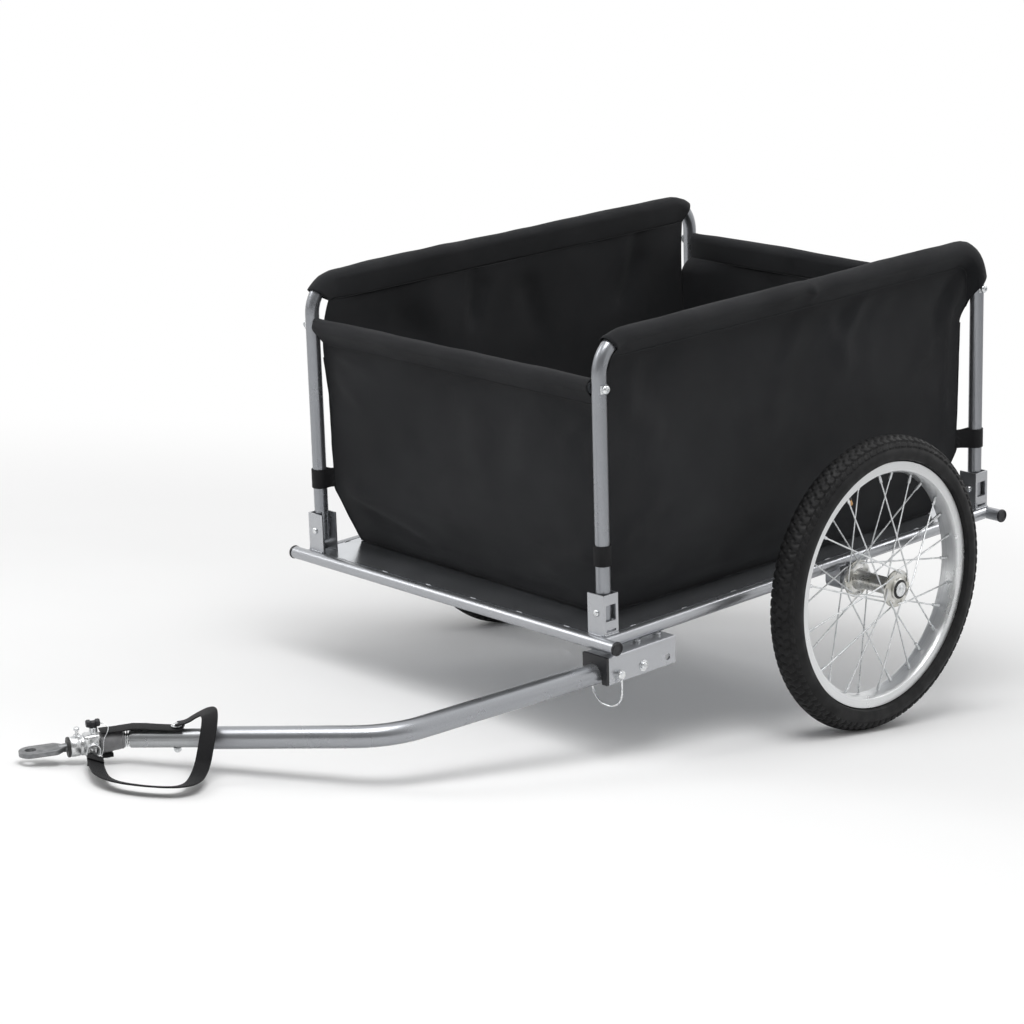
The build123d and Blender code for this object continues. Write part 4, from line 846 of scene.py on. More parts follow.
seams = bmesh.new()
for side_name, side in SIDES.items():
    for end, inwards in ENDS.items():
        out = Vector((side, -inwards, 0)).normalized()
        line = []
        for i in range(60):
            height = FLOOR_Z + 0.001 + (SEAM_TOP - FLOOR_Z) * i / 59
            jog = 0.0004 + 0.0005 * noise.noise(Vector((height * 40, side, inwards)))
            line.append(seam_at(side_name, end, height) + out * (jog - tucked(height) * 1.4))
        swept(seams, line, [(-0.0009, -0.0010), (0.0009, -0.0010), (0.0012, 0.0), (0.0009, 0.0010),
                            (-0.0009, 0.0010), (-0.0012, 0.0)], up=out)
for here, there in zip(foot_corners, foot_corners[1:] + foot_corners[:1]):
    out = (there - here).normalized().cross(UP)
    low_edge = [point + out * 0.0008 + UP * 0.0016 for point in even_line(here, there, 60)]
    swept(seams, low_edge, circle(0.0015, 8))
finished("corner_seams", seams, woven_black, crease=60)

thread = new_finish("bonded_thread", (0.024, 0.024, 0.026), 0.5)
tint(thread, grain(thread, 2500, 2), (0.018, 0.018, 0.020), (0.036, 0.036, 0.040))
emboss(thread, grain(thread, 4000, 1), 0.00008)


def stitches(form, line, outwards, size=0.00028, pitch=0.0042):
    """Thread showing over three quarters of each stitch, rounded into the cloth at its ends."""
    for here, there in zip(line, line[1:]):
        count = max(1, round((there - here).length / pitch))
        for n in range(count):
            start, end = here.lerp(there, (n + 0.12) / count), here.lerp(there, (n + 0.88) / count)
            rise = outwards * size * 0.9
            swept(form, [start - rise, start.lerp(end, 0.2) + rise * 0.6, start.lerp(end, 0.8) + rise * 0.6,
                         end - rise], circle(size, 5), up=outwards)


hem_thread = bmesh.new()
for name, line in stitch_lines.items():
    out = {"left": Vector((1, 0, 0)), "right": Vector((-1, 0, 0)),
           "front": Vector((0, -1, 0)), "rear": Vector((0, 1, 0))}[name]
    trimmed = [point - UP * 0.0012 for point in line[3:-3]]
    stitches(hem_thread, [point + out * 0.0007 for point in trimmed], out)
    stitches(hem_thread, [point - out * 0.0027 for point in trimmed], -out)
finished("hem_stitches", hem_thread, thread, crease=180)


# ---- corner tabs ---------------------------------------------------------------
# Loops of 25 mm polypropylene webbing round the posts, sewn flat together and into
# the corner seams of the box, which they keep from sagging inwards.

TAB_Z = 0.120
TAB_HALF = 0.0125
TAB_STRIP = 0.0013

webbing = new_finish("black_webbing_ribs", (0.008, 0.008, 0.009), 0.6)
tint(webbing, grain(webbing, 1200, 2), (0.006, 0.006, 0.007), (0.011, 0.011, 0.0125))
shade(webbing, {"Specular IOR Level": 0.22})
weave(webbing, 0.0013, 0.00035)


def strip_outline(width, thickness):
    """Section of flat webbing with rounded selvedges, as (through, across) points."""
    w, t = width / 2, thickness / 2
    return [(-t, -w + t), (-t * 0.7, -w + 0.3 * t), (0, -w), (t * 0.7, -w + 0.3 * t), (t, -w + t),
            (t, w - t), (t * 0.7, w - 0.3 * t), (0, w), (-t * 0.7, w - 0.3 * t), (-t, w - t)]


tabs, tab_thread = bmesh.new(), bmesh.new()
tab_loop = POST_RADIUS + 0.0004 + TAB_STRIP / 2
mouth = math.radians(38)
for end in ("front", "rear"):
    for side_name, side in SIDES.items():
        post = Vector((side * POST_X, POST_YS[end], TAB_Z))
        reach = seam_at(side_name, end, TAB_Z) - post
        towards, run = reach.normalized(), reach.length
        across = Vector((-towards.y, towards.x, 0))
        line = [post + towards * run + across * 0.0007, post + towards * (run * 0.75) + across * 0.0008]
        for k in range(19):
            turn = mouth + 2 * (math.pi - mouth) * k / 18
            line.append(post + tab_loop * (towards * math.cos(turn) + across * math.sin(turn)))
        line += [post + towards * (run * 0.75) - across * 0.0008, post + towards * run - across * 0.0007]
        swept(tabs, line, strip_outline(2 * TAB_HALF, TAB_STRIP))
        for row in (-0.008, 0.0, 0.008):
            for face in (1, -1):
                first = post + towards * (run * 0.80) + across * face * 0.0015 + UP * row
                last = first + towards * run * 0.16 + UP * 0.004
                stitches(tab_thread, even_line(first, last, 2), across * face)
finished("tab_loops", tabs, webbing, stands_for=["corner_tabs"], crease=70)
finished("tab_stitches", tab_thread, thread, crease=180)


# ---- axle brackets and axles ---------------------------------------------------
# A steel block under each side tube takes a 12 mm stub axle. The axle has a spacer
# against the block, a domed bright head outside the hub, and a split washer.

WHEEL_X = 0.327
AXLE_FROM, SPACER_FROM, HEAD_FROM = 0.2490, 0.2801, WHEEL_X + 0.0385
AXLE_LENGTH, AXLE_RADIUS = 0.1160, 0.0059
for side_name, side in SIDES.items():
    dress(f"{side_name}_axle_bracket", powder_coat, edge=0.0006)
    axle = bmesh.new()
    stub = [(0, 0.0), (0, 0.0050), (0.0008, AXLE_RADIUS), (AXLE_LENGTH, AXLE_RADIUS)]
    turned(axle, (side * AXLE_FROM, 0, 0), (side, 0, 0), stub)
    spacer = [(0.0, 0.0096), (0.0004, 0.0100), (0.0076, 0.0100), (0.0080, 0.0096)]
    turned(axle, (side * SPACER_FROM, 0, 0), (side, 0, 0), spacer)
    head = [(0.0, 0.0062), (0.0, 0.0086), (0.0006, 0.0090), (0.0012, 0.0090), (0.0016, 0.0076),
            (0.0017, 0.0050), (0.0019, 0.0046), (0.0027, 0.0040), (0.0031, 0.0026), (0.0032, 0.0)]
    turned(axle, (side * HEAD_FROM, 0, 0), (side, 0, 0), head)
    finished(f"{side_name}_stub_axle", axle, zinc, stands_for=[f"{side_name}_axle"],
             crease=35)


# ---- hubs ----------------------------------------------------------------------
# Pressed steel hubs, bright zinc plated: two flanges of fourteen spoke holes on a
# short barrel, swelling to a bearing cup at each end behind a black rubber seal.

plated_hub = new_finish("plated_hub", (0.66, 0.66, 0.64), 0.28, 0.9)
tint(plated_hub, grain(plated_hub, 60, 5), (0.52, 0.51, 0.46), (0.76, 0.76, 0.75))
patchy_gloss(plated_hub, grain(plated_hub, 70, 4), 0.18, 0.38)
emboss(plated_hub, grain(plated_hub, 600, 3), 0.00005)
seal_rubber = new_finish("seal_rubber", (0.02, 0.02, 0.02), 0.55)
tint(seal_rubber, grain(seal_rubber, 300, 3), (0.014, 0.014, 0.014), (0.030, 0.030, 0.030))
patchy_gloss(seal_rubber, grain(seal_rubber, 90, 3), 0.45, 0.65)

HUB_HALF = 0.038
FLANGE_X = 0.032
SPOKES_PER_FLANGE = 14
HOLE_CIRCLE = 0.020
# from the hub's inner end to its middle
half_hub = [(-HUB_HALF, 0.0105), (-HUB_HALF, 0.0128), (-0.0372, 0.0135), (-0.0345, 0.0137),
            (-0.0336, 0.0150), (-0.0335, 0.0234), (-0.0330, 0.0240), (-0.0310, 0.0240),
            (-0.0305, 0.0234), (-0.0304, 0.0160),
            (-0.0290, 0.0138), (-0.0240, 0.0122), (-0.0160, 0.0111), (0, 0.0109)]
hub_profile = half_hub + [(-along, radius) for along, radius in reversed(half_hub[:-1])]
for side_name, side in SIDES.items():
    hub = bmesh.new()
    turned(hub, (side * WHEEL_X, 0, 0), (1, 0, 0), hub_profile, 56)
    for flange in (1, -1):
        for k in range(SPOKES_PER_FLANGE):
            turn = (k + (0.5 if flange > 0 else 0)) * 2 * math.pi / SPOKES_PER_FLANGE
            outside = flange if k % 2 else -flange
            hole = Vector((side * WHEEL_X + flange * FLANGE_X, HOLE_CIRCLE * math.cos(turn),
                           HOLE_CIRCLE * math.sin(turn)))
            round_head(hub, hole + Vector((outside * 0.0015, 0, 0)), (outside, 0, 0), 0.0038, 0.0012,
                       slot=False)
    finished(f"{side_name}_hub_shell", hub, plated_hub, body=f"{side_name}_wheel",
             stands_for=[f"{side_name}_hub"], crease=35)
    seals = bmesh.new()
    for face in (1, -1):
        turned(seals, (side * WHEEL_X + face * 0.0379, 0, 0), (face, 0, 0),
               ((0, 0.0062), (0.0, 0.0122), (0.0003, 0.0122), (0.0004, 0.0110), (0.0003, 0.0062)))
    finished(f"{side_name}_hub_seals", seals, seal_rubber, body=f"{side_name}_wheel",
             crease=50)


# ---- spokes and nipples --------------------------------------------------------
# Galvanised 2 mm steel spokes laced across three others, with brass nipples that
# are nickel plated.

spoke_steel = new_finish("galvanised_spoke", (0.70, 0.71, 0.72), 0.30, 0.9)
tint(spoke_steel, grain(spoke_steel, 90, 4), (0.58, 0.60, 0.61), (0.80, 0.81, 0.82))
patchy_gloss(spoke_steel, grain(spoke_steel, 120, 3), 0.22, 0.42)
for side_name in ("left", "right"):
    dress(f"{side_name}_spokes", spoke_steel)


# ---- rims ----------------------------------------------------------------------
# Extruded aluminium, brushed round and round and left bright, with a shallow dent
# at every spoke hole and a rubber-based valve with a brass end.

def rim_brushing(material, side_name):
    """Fine lines that run round the wheel, as a fine grain across and outwards only."""
    axle = middle(f"{side_name}_rim")
    from_axle = node_in(material, "ShaderNodeMapping",
                        {"Vector": place_in(material, "Object"), "Location": (-axle.x, -axle.y, -axle.z)})
    across = node_in(material, "ShaderNodeSeparateXYZ", {"Vector": from_axle.outputs["Vector"]})
    in_plane = node_in(material, "ShaderNodeVectorMath", {0: from_axle.outputs["Vector"], 1: (0, 1, 1)},
                       operation="MULTIPLY")
    outwards = node_in(material, "ShaderNodeVectorMath", {0: in_plane.outputs["Vector"]}, operation="LENGTH")
    both = node_in(material, "ShaderNodeCombineXYZ",
                   {"X": across.outputs["X"], "Y": outwards.outputs["Value"]})
    lines = node_in(material, "ShaderNodeTexNoise",
                    {"Vector": both.outputs["Vector"], "Scale": 1500, "Detail": 2})
    return lines.outputs["Fac"]


brass = new_finish("valve_brass", (0.62, 0.36, 0.16), 0.32, 0.9)
tint(brass, grain(brass, 400, 3), (0.50, 0.27, 0.11), (0.70, 0.43, 0.20))
patchy_gloss(brass, grain(brass, 200, 3), 0.24, 0.42)

VALVE_TURN = math.radians(113.7)
RIM_INSIDE = 0.1436
for side_name, side in SIDES.items():
    brushed = new_finish(f"brushed_rim_{side_name}", (0.78, 0.79, 0.79), 0.30, 0.85)
    brushing = rim_brushing(brushed, side_name)
    tint(brushed, brushing, (0.68, 0.69, 0.70), (0.84, 0.85, 0.85), 0.3, 0.7)
    patchy_gloss(brushed, grain(brushed, 25, 5), 0.24, 0.40)
    emboss(brushed, brushing, 0.00004)
    dress(f"{side_name}_rim", brushed, edge=0.0005)
    outwards = Vector((0, math.cos(VALVE_TURN), math.sin(VALVE_TURN)))
    foot = Vector((side * WHEEL_X, 0, 0)) + outwards * RIM_INSIDE
    stem = bmesh.new()
    turned(stem, foot, -outwards, ((-0.002, 0.0), (-0.002, 0.0046), (0.0002, 0.0046), (0.0012, 0.0042),
                                   (0.0040, 0.0034), (0.0110, 0.0031), (0.0116, 0.0027), (0.0116, 0.0)), 24)
    finished(f"{side_name}_valve_stem", stem, seal_rubber, body=f"{side_name}_wheel",
             crease=35)
    tip = bmesh.new()
    turned(tip, foot - outwards * 0.0114, -outwards,
           ((0, 0.0), (0, 0.0026), (0.0004, 0.0029), (0.0012, 0.0029), (0.0020, 0.0026), (0.0028, 0.0029),
            (0.0036, 0.0026), (0.0044, 0.0029), (0.0070, 0.0029), (0.0078, 0.0024), (0.0080, 0.0)), 24)
    finished(f"{side_name}_valve_tip", tip, brass, body=f"{side_name}_wheel", crease=35)


# ---- tyres ---------------------------------------------------------------------
# Black rubber tyres, 42 mm across, moulded with rows of slanting blocks round the
# crown and a fine step low on each wall.

TYRE_MIDDLE = 0.169
TYRE_SECTION = 0.021
TREAD_DEPTH = 0.0019
BLOCKS_ROUND = 96
STEPS_ROUND = BLOCKS_ROUND * 8
# the tyre's feet sit between the rim's flanges: how far across, and how far from the axle
FEET = ((0.0105, 0.1588), (0.0105, 0.1515), (-0.0105, 0.1515), (-0.0105, 0.1588))

tyre_rubber = new_finish("tyre_rubber", (0.0075, 0.0075, 0.008), 0.6)
tint(tyre_rubber, grain(tyre_rubber, 45, 6), (0.0055, 0.0055, 0.006), (0.0095, 0.0095, 0.010))
patchy_gloss(tyre_rubber, grain(tyre_rubber, 60, 4), 0.50, 0.74)
emboss(tyre_rubber, grain(tyre_rubber, 700, 3), 0.00005)
shade(tyre_rubber, {"Specular IOR Level": 0.28})


def block_height(across, around):
    """Height of the tread, 1 on a block and 0 in a groove, at a place across and round the tyre."""
    row = abs(across)
    if row > 1:
        return 0.0
    slant = 0.9 * across
    if row < 0.30:
        phase = (around + 0.35 * math.sin(math.pi * across / 0.3)) % 1.0
        gap = 0.24
    elif row < 0.66:
        phase = (around + 0.5 + slant) % 1.0
        gap = 0.26
    else:
        phase = (around + 0.2 - slant) % 1.0
        gap = 0.34
    for edge in (0.30, 0.66, 1.0):
        if abs(row - edge) < 0.028:
            return 0.0
    return 0.0 if phase < gap else 1.0


# the turns of the tyre's section from its crown, and where its tread and its walls end
crown = [math.radians(112) * k / 20 for k in range(-20, 21)]
TREAD_EDGE, TREAD_FADE, WALL_STEP = math.radians(66), math.radians(84), math.radians(88)
for side_name, side in SIDES.items():
    tyre = bmesh.new()
    rings = []
    for i in range(STEPS_ROUND):
        around = 2 * math.pi * i / STEPS_ROUND
        outwards = Vector((0, math.cos(around), math.sin(around)))
        ring = []
        for turn in crown:
            lift = TREAD_DEPTH * block_height(turn / TREAD_EDGE, around * BLOCKS_ROUND / (2 * math.pi))
            sunk = TREAD_DEPTH * smooth((TREAD_FADE - abs(turn)) / math.radians(20))
            step = 0.0007 if abs(turn) > WALL_STEP else 0.0
            radius = min(TYRE_SECTION - sunk + lift + step, TYRE_SECTION + 0.0004)
            ring.append(tyre.verts.new(Vector((side * WHEEL_X + radius * math.sin(turn), 0, 0))
                                       + outwards * (TYRE_MIDDLE + radius * math.cos(turn))))
        for across, reach in FEET:
            ring.append(tyre.verts.new(Vector((side * WHEEL_X + across, 0, 0)) + outwards * reach))
        rings.append(ring)
    for i in range(STEPS_ROUND):
        lower, upper = rings[i], rings[(i + 1) % STEPS_ROUND]
        for k in range(len(lower)):
            m = (k + 1) % len(lower)
            tyre.faces.new((lower[k], lower[m], upper[m], upper[k]))
    finished(f"{side_name}_block_tyre", tyre, tyre_rubber, body=f"{side_name}_wheel",
             stands_for=[f"{side_name}_tyre"], crease=42)


# ---- tow bar and its bracket ---------------------------------------------------
# A folded steel channel is bolted under the left side tube. The bent tow bar swings
# in it on one bolt and is held straight by a pull pin with a wire bail. A black
# plastic liner in the channel's mouth stops the bar from rattling.

# The channel takes the lighter copy of the frame's coat: painted light on its flat faces.
dress("towbar_bracket", lit_plate_coat)
dress("towbar_liner", moulded_black, edge=0.0004)
dress("towbar", coated_steel("tow_bar_coat", (0.30, 0.31, 0.33), (0.36, 0.37, 0.39)))
dress("coupling_sleeve", coated_steel("sleeve_coat", (0.36, 0.37, 0.38), (0.44, 0.45, 0.46)))

TOWBAR_Z = -0.019
CHANNEL_FACE = 0.020
PIVOT = Vector((0.270, -0.382, TOWBAR_Z))
PIN_Y = -0.4239
LEFTWARDS = Vector((1, 0, 0))

channel_bolts = bmesh.new()
for bolt_y in (-0.373, -0.338):
    hex_prism(channel_bolts, (SIDE_TUBE_X, bolt_y, 0.0025), -UP, 0.010, 0.003)
    turned(channel_bolts, (SIDE_TUBE_X, bolt_y, 0.005), UP,
           ((0, 0.0050), (0.0002, 0.0055), (0.0028, 0.0055), (0.0030, 0.0050)), 32)
    turned(channel_bolts, (SIDE_TUBE_X, bolt_y, 0.001), UP, ((0, 0.003), (0.015, 0.003)), 20)
finished("channel_bolts", channel_bolts, zinc, stands_for=["towbar_bracket_bolts"],
         crease=32)

pivot_bolt = bmesh.new()
inner_face = Vector((SIDE_TUBE_X - CHANNEL_FACE, PIVOT.y, TOWBAR_Z))
outer_face = inner_face + LEFTWARDS * 2 * CHANNEL_FACE
turned(pivot_bolt, outer_face, LEFTWARDS, ((0, 0.0070), (0.0008, 0.0070)), 32)
round_head(pivot_bolt, outer_face + LEFTWARDS * 0.0008, LEFTWARDS, 0.0105, 0.0036)
lock_nut(pivot_bolt, inner_face, -LEFTWARDS, 0.010, 0.0050)
threaded_end(pivot_bolt, inner_face - LEFTWARDS * 0.003, -LEFTWARDS, 0.006, 0.004)
turned(pivot_bolt, inner_face, LEFTWARDS, ((0, 0.003), (2 * CHANNEL_FACE, 0.003)), 20)
finished("bar_pivot_bolt", pivot_bolt, zinc, stands_for=["towbar_pivot_bolt"], crease=32)

pull_pin = bmesh.new()
tail, head = SIDE_TUBE_X - 0.0272, SIDE_TUBE_X + CHANNEL_FACE
turned(pull_pin, (tail, PIN_Y, TOWBAR_Z), LEFTWARDS,
       ((0, 0.0), (0.0, 0.0024), (0.0016, 0.0040), (head - tail, 0.0040)), 28)
turned(pull_pin, (head, PIN_Y, TOWBAR_Z), LEFTWARDS,
       ((0, 0.0040), (0.0, 0.0052), (0.0005, 0.0055), (0.0055, 0.0055), (0.0064, 0.0050), (0.0069, 0.0036),
        (0.0070, 0.0)), 28)
finished("pull_pin", pull_pin, zinc, stands_for=["towbar_pull_pin"], crease=32)
dress("pull_pin_bail", zinc)


# ---- coupling ------------------------------------------------------------------
# A flexible hitch of die-cast zinc: a short spring and a rubber boot, a knuckle with
# a knobbed pin, a barrel that turns on a retaining pin, and a flat forged eye.

REAR_RUN, FRONT_RUN = 0.364, 0.294


def heading(degrees):
    """The way forwards, turned to the trailer's right by an angle."""
    return Vector((-math.sin(math.radians(degrees)), -math.cos(math.radians(degrees)), 0))


# the bar's two straights, each drawn on to where they would meet at its bend
bar_step, step = heading(47), heading(24.7)
coupling_start = PIVOT + heading(4) * REAR_RUN + bar_step * FRONT_RUN
aside = Vector((-step.y, step.x, 0))


def on_coupling(distance, out=0.0, rise=0.0):
    """A place so far along the coupling, out to its left and up from its middle line."""
    return coupling_start + step * distance + aside * out + UP * rise


dress("coupling_coil", zinc)
boot_rubber = new_finish("boot_rubber", (0.16, 0.16, 0.165), 0.30)
tint(boot_rubber, grain(boot_rubber, 70, 4), (0.13, 0.13, 0.135), (0.20, 0.20, 0.205))
patchy_gloss(boot_rubber, grain(boot_rubber, 50, 4), 0.24, 0.36)
emboss(boot_rubber, grain(boot_rubber, 900, 2), 0.00004)
boot = bmesh.new()
turned(boot, on_coupling(-0.010), step,
       ((0, 0.0), (0, 0.0060), (0.0192, 0.0064), (0.0193, 0.0096), (0.0200, 0.0103), (0.0216, 0.0103),
        (0.0222, 0.0098), (0.0230, 0.0104), (0.0440, 0.0122), (0.0456, 0.0125), (0.0464, 0.0118),
        (0.0464, 0.0)))
finished("hitch_boot", boot, boot_rubber, stands_for=["coupling_boot"], crease=35)

cast_zinc = new_finish("cast_zinc", (0.66, 0.67, 0.68), 0.30, 0.9)
tint(cast_zinc, grain(cast_zinc, 160, 5), (0.54, 0.55, 0.56), (0.76, 0.77, 0.77))
patchy_gloss(cast_zinc, grain(cast_zinc, 110, 4), 0.20, 0.40)
emboss(cast_zinc, grain(cast_zinc, 420, 4), 0.00012)

KNUCKLE_AT, KNUCKLE_LENGTH = 0.0364, 0.018
BARREL_AT, BARREL_LENGTH = KNUCKLE_AT + KNUCKLE_LENGTH, 0.016
KNOB_AT = KNUCKLE_AT + 0.0063


def block_on_coupling(form, start, length, width, height, rounding, lift=0.0):
    """A cast block across the coupling's axis, with rounded corners and edges."""
    outline = []
    for cx, cz in ((1, 1), (-1, 1), (-1, -1), (1, -1)):
        for k in range(5):
            turn = math.atan2(cz, cx) - math.pi / 4 + math.pi / 2 * k / 4
            outline.append((cx * (width / 2 - rounding) + rounding * math.cos(turn),
                            cz * (height / 2 - rounding) + rounding * math.sin(turn)))
    line = [on_coupling(start + d, 0, lift) for d in (0, rounding * 0.4, length - rounding * 0.4, length)]
    inset = 1 - 0.5 * rounding / width
    swept(form, line, outline, scales=(inset, 1, 1, inset))


knuckle = bmesh.new()
block_on_coupling(knuckle, KNUCKLE_AT, KNUCKLE_LENGTH, 0.018, 0.025, 0.0035)
for lug in (0.0015, 0.0125):
    block_on_coupling(knuckle, KNUCKLE_AT + lug, 0.004, 0.0205, 0.0262, 0.0045)
turned(knuckle, on_coupling(BARREL_AT), step,
       ((0, 0.0), (0, 0.0108), (0.0008, 0.0115), (0.0040, 0.0115), (0.0046, 0.0110), (0.0054, 0.0110),
        (0.0060, 0.0115), (0.0150, 0.0115), (BARREL_LENGTH, 0.0108), (BARREL_LENGTH, 0.0)), 44)
for end in (-1, 1):
    turned(knuckle, on_coupling(KNOB_AT, 0, end * 0.0125), UP * end,
           ((0, 0.0050), (0.0012, 0.0050), (0.0016, 0.0044)), 28)
for out in (1, -1):
    round_head(knuckle, on_coupling(KNUCKLE_AT + 0.0125, out * 0.0100, -0.004), aside * out, 0.0060, 0.0020)
finished("hitch_knuckle", knuckle, cast_zinc, stands_for=["coupling_body"], crease=40)

RING_LENGTH = 0.003
ring = bmesh.new()
turned(ring, on_coupling(BARREL_AT + BARREL_LENGTH), step,
       ((0, 0.0), (0, 0.0110), (0.0005, 0.0116), (0.0024, 0.0116), (RING_LENGTH, 0.0110),
        (RING_LENGTH, 0.0)), 44)
finished("hitch_ring", ring, seal_rubber, stands_for=["coupling_ring"], crease=40)

knob_pin = bmesh.new()
turned(knob_pin, on_coupling(KNOB_AT, 0, -0.0150), UP,
       ((0, 0.0), (0, 0.0022), (0.0008, 0.0030), (0.0270, 0.0030), (0.0272, 0.0048), (0.0345, 0.0048),
        (0.0350, 0.0040), (0.0350, 0.0)), 28)
finished("knob_pin", knob_pin, zinc, stands_for=["coupling_knob_pin"], crease=35)
knob = bmesh.new()
for out in (-1, 1):
    turned(knob, on_coupling(KNOB_AT, 0, 0.0245), step * out,
           ((0, 0.0030), (0.0024, 0.0032), (0.0034, 0.0044), (0.0064, 0.0045), (0.0078, 0.0038),
            (0.0080, 0.0)), 28)
turned(knob, on_coupling(KNOB_AT, 0, 0.0198), UP,
       ((0, 0.0036), (0.0010, 0.0042), (0.0060, 0.0036), (0.0082, 0)), 28)
finished("pin_knob", knob, moulded_black, crease=45)

retainer = bmesh.new()
RETAINER_AT = BARREL_AT + 0.0072
turned(retainer, on_coupling(RETAINER_AT, 0, 0.0060), UP, ((0, 0.0), (0, 0.0020), (0.0130, 0.0020)), 24)
hex_prism(retainer, on_coupling(RETAINER_AT, 0, 0.0112), UP, 0.0072, 0.0024)
turned(retainer, on_coupling(RETAINER_AT, 0, 0.0190), UP,
       ((0, 0.0), (0, 0.0030), (0.0006, 0.0035), (0.0024, 0.0035), (0.0030, 0.0029), (0.0030, 0.0)), 28)
finished("retaining_pin", retainer, zinc, stands_for=["coupling_retainer_pin"], crease=35)

forged = new_finish("forged_eye", (0.20, 0.205, 0.21), 0.42, 0.75)
tint(forged, grain(forged, 120, 5), (0.16, 0.165, 0.17), (0.26, 0.265, 0.27))
patchy_gloss(forged, grain(forged, 60, 4), 0.34, 0.52)
emboss(forged, grain(forged, 350, 4), 0.00014)
EYE_AT, EYE_HALF, EYE_HOLE, EYE_THICK = 0.1145, 0.0135, 0.00625, 0.006
NECK_AT, NECK_RADIUS = BARREL_AT + BARREL_LENGTH + RING_LENGTH + 0.002, 0.0050
# the round neck is hammered out flat over its first 12 mm, and its edges curve in from there
FLATTENED, CURVE_FROM = 0.012, EYE_AT - 0.02
eye = bmesh.new()
turned(eye, on_coupling(NECK_AT - 0.012), step,
       ((0, 0.0), (0, NECK_RADIUS), (0.0130, NECK_RADIUS), (0.0180, 0.0047), (0.0205, 0.0040),
        (0.0215, 0.0)), 32)
outer, inner = [], []
for turn in ring_turns(48):
    forwards, out = math.cos(turn), math.sin(turn)
    inner.append((EYE_AT + EYE_HOLE * forwards, EYE_HOLE * out))
    along, half = EYE_AT + EYE_HALF * forwards, EYE_HALF * out
    if forwards < 0:
        along, half = EYE_AT + (EYE_AT - NECK_AT) * forwards, math.copysign(EYE_HALF, out)
        if along < NECK_AT + FLATTENED:
            widest = NECK_RADIUS + 0.0085 * smooth((along - NECK_AT) / FLATTENED)
            half = math.copysign(min(EYE_HALF * abs(out) + 0.004, widest), out)
    outer.append((along, half))
# each level through the thickness, with the share of the outline and of the hole it has
levels = ((-0.5, 0.94, 1.06), (-0.42, 1.0, 1.0), (0.42, 1.0, 1.0), (0.5, 0.94, 1.06))
shells = []
for through, out_share, hole_share in levels:
    rise = through * EYE_THICK
    along_share = 1 - (1 - out_share) * 0.45
    shells.append((
        [eye.verts.new(on_coupling(CURVE_FROM + (along - CURVE_FROM) * along_share, half * out_share, rise))
         for along, half in outer],
        [eye.verts.new(on_coupling(EYE_AT + (along - EYE_AT) * hole_share, half * hole_share, rise))
         for along, half in inner]))
for k in range(48):
    m = (k + 1) % 48
    for (low_out, low_in), (high_out, high_in) in zip(shells, shells[1:]):
        eye.faces.new((low_out[k], low_out[m], high_out[m], high_out[k]))
        eye.faces.new((low_in[m], low_in[k], high_in[k], high_in[m]))
    for outer_ring, inner_ring in (shells[0], shells[-1]):
        eye.faces.new((outer_ring[k], outer_ring[m], inner_ring[m], inner_ring[k]))
finished("flat_eye", eye, forged, stands_for=["hitch_eye"], crease=35)


# ---- safety strap --------------------------------------------------------------
# 20 mm webbing. A tongue lies along the top of the sleeve, under a bolt. The strap
# leaves the bolt over the bar in a hump, and runs in a slack loop on the floor to a
# ring on the knuckle, where its end is folded through and sewn.

STRAP_WIDTH, STRAP_THICK = 0.020, 0.0018
bolt_at = coupling_start - bar_step * 0.052

tongue = bmesh.new()
over_boot = ((0.0350, 0.0138), (0.0300, 0.0139), (0.0200, 0.0134), (0.0100, 0.0136))
over_bar = ((0.002, 0.0142), (0.016, 0.0140), (0.032, 0.0128), (0.046, 0.0122), (0.052, 0.0121),
            (0.060, 0.0123))
tongue_line = [on_coupling(distance, 0, rise) for distance, rise in over_boot]
tongue_line += [coupling_start - bar_step * back + UP * rise for back, rise in over_bar]
strap_outline = [(across, through) for through, across in strip_outline(STRAP_WIDTH, STRAP_THICK)]
swept(tongue, tongue_line, strap_outline)
finished("strap_tongue_webbing", tongue, webbing, stands_for=["strap_tongue"],
         crease=70)

strap_bolt = bmesh.new()
turned(strap_bolt, bolt_at + UP * 0.0146, UP, ((0, 0.0058), (0.0002, 0.0061), (0.0008, 0.0061)), 28)
round_head(strap_bolt, bolt_at + UP * 0.0153, UP, 0.0088, 0.0028)
turned(strap_bolt, bolt_at - UP * 0.0165, UP, ((0, 0.0025), (0.032, 0.0025)), 20)
lock_nut(strap_bolt, bolt_at - UP * 0.0109, -UP, 0.008, 0.0044)
threaded_end(strap_bolt, bolt_at - UP * 0.0140, -UP, 0.005, 0.003)
finished("strap_bolt_and_nut", strap_bolt, zinc, stands_for=["strap_bolt"], crease=32)

dress("strap_ring", zinc)

# the parked strap's middle line: how far back along the bar from the bolt, how far out
# to the bar's left, and how far up from the floor
STRAP_ROUTE = ((-0.002, 0.0, 0.0510), (0.008, 0.0, 0.0530), (0.019, -0.006, 0.0610),
               (0.032, -0.002, 0.0695), (0.039, 0.020, 0.0690), (0.039, 0.037, 0.0420),
               (0.036, 0.044, 0.0105), (0.034, 0.112, 0.0105), (-0.008, 0.126, 0.0105),
               (-0.060, 0.116, 0.0105), (-0.081, 0.058, 0.0105), (-0.084, 0.042, 0.0145))
under_bolt = PARKED @ bolt_at
under_bolt.z = 0
bar_left = Vector((-bar_step.y, bar_step.x, 0))
route = [under_bolt - bar_step * back + bar_left * out + UP * rise for back, out, rise in STRAP_ROUTE]
curve = bpy.data.curves.new("strap_line", "CURVE")
curve.dimensions = "3D"
spline = curve.splines.new("NURBS")
spline.points.add(len(route) - 1)
for place, point in zip(spline.points, route):
    place.co = (*point, 1)
spline.order_u = 3
spline.use_endpoint_u = True
spline.resolution_u = 14
guide = bpy.data.objects.new("strap_line", curve)
bpy.context.scene.collection.objects.link(guide)
bpy.context.view_layer.update()
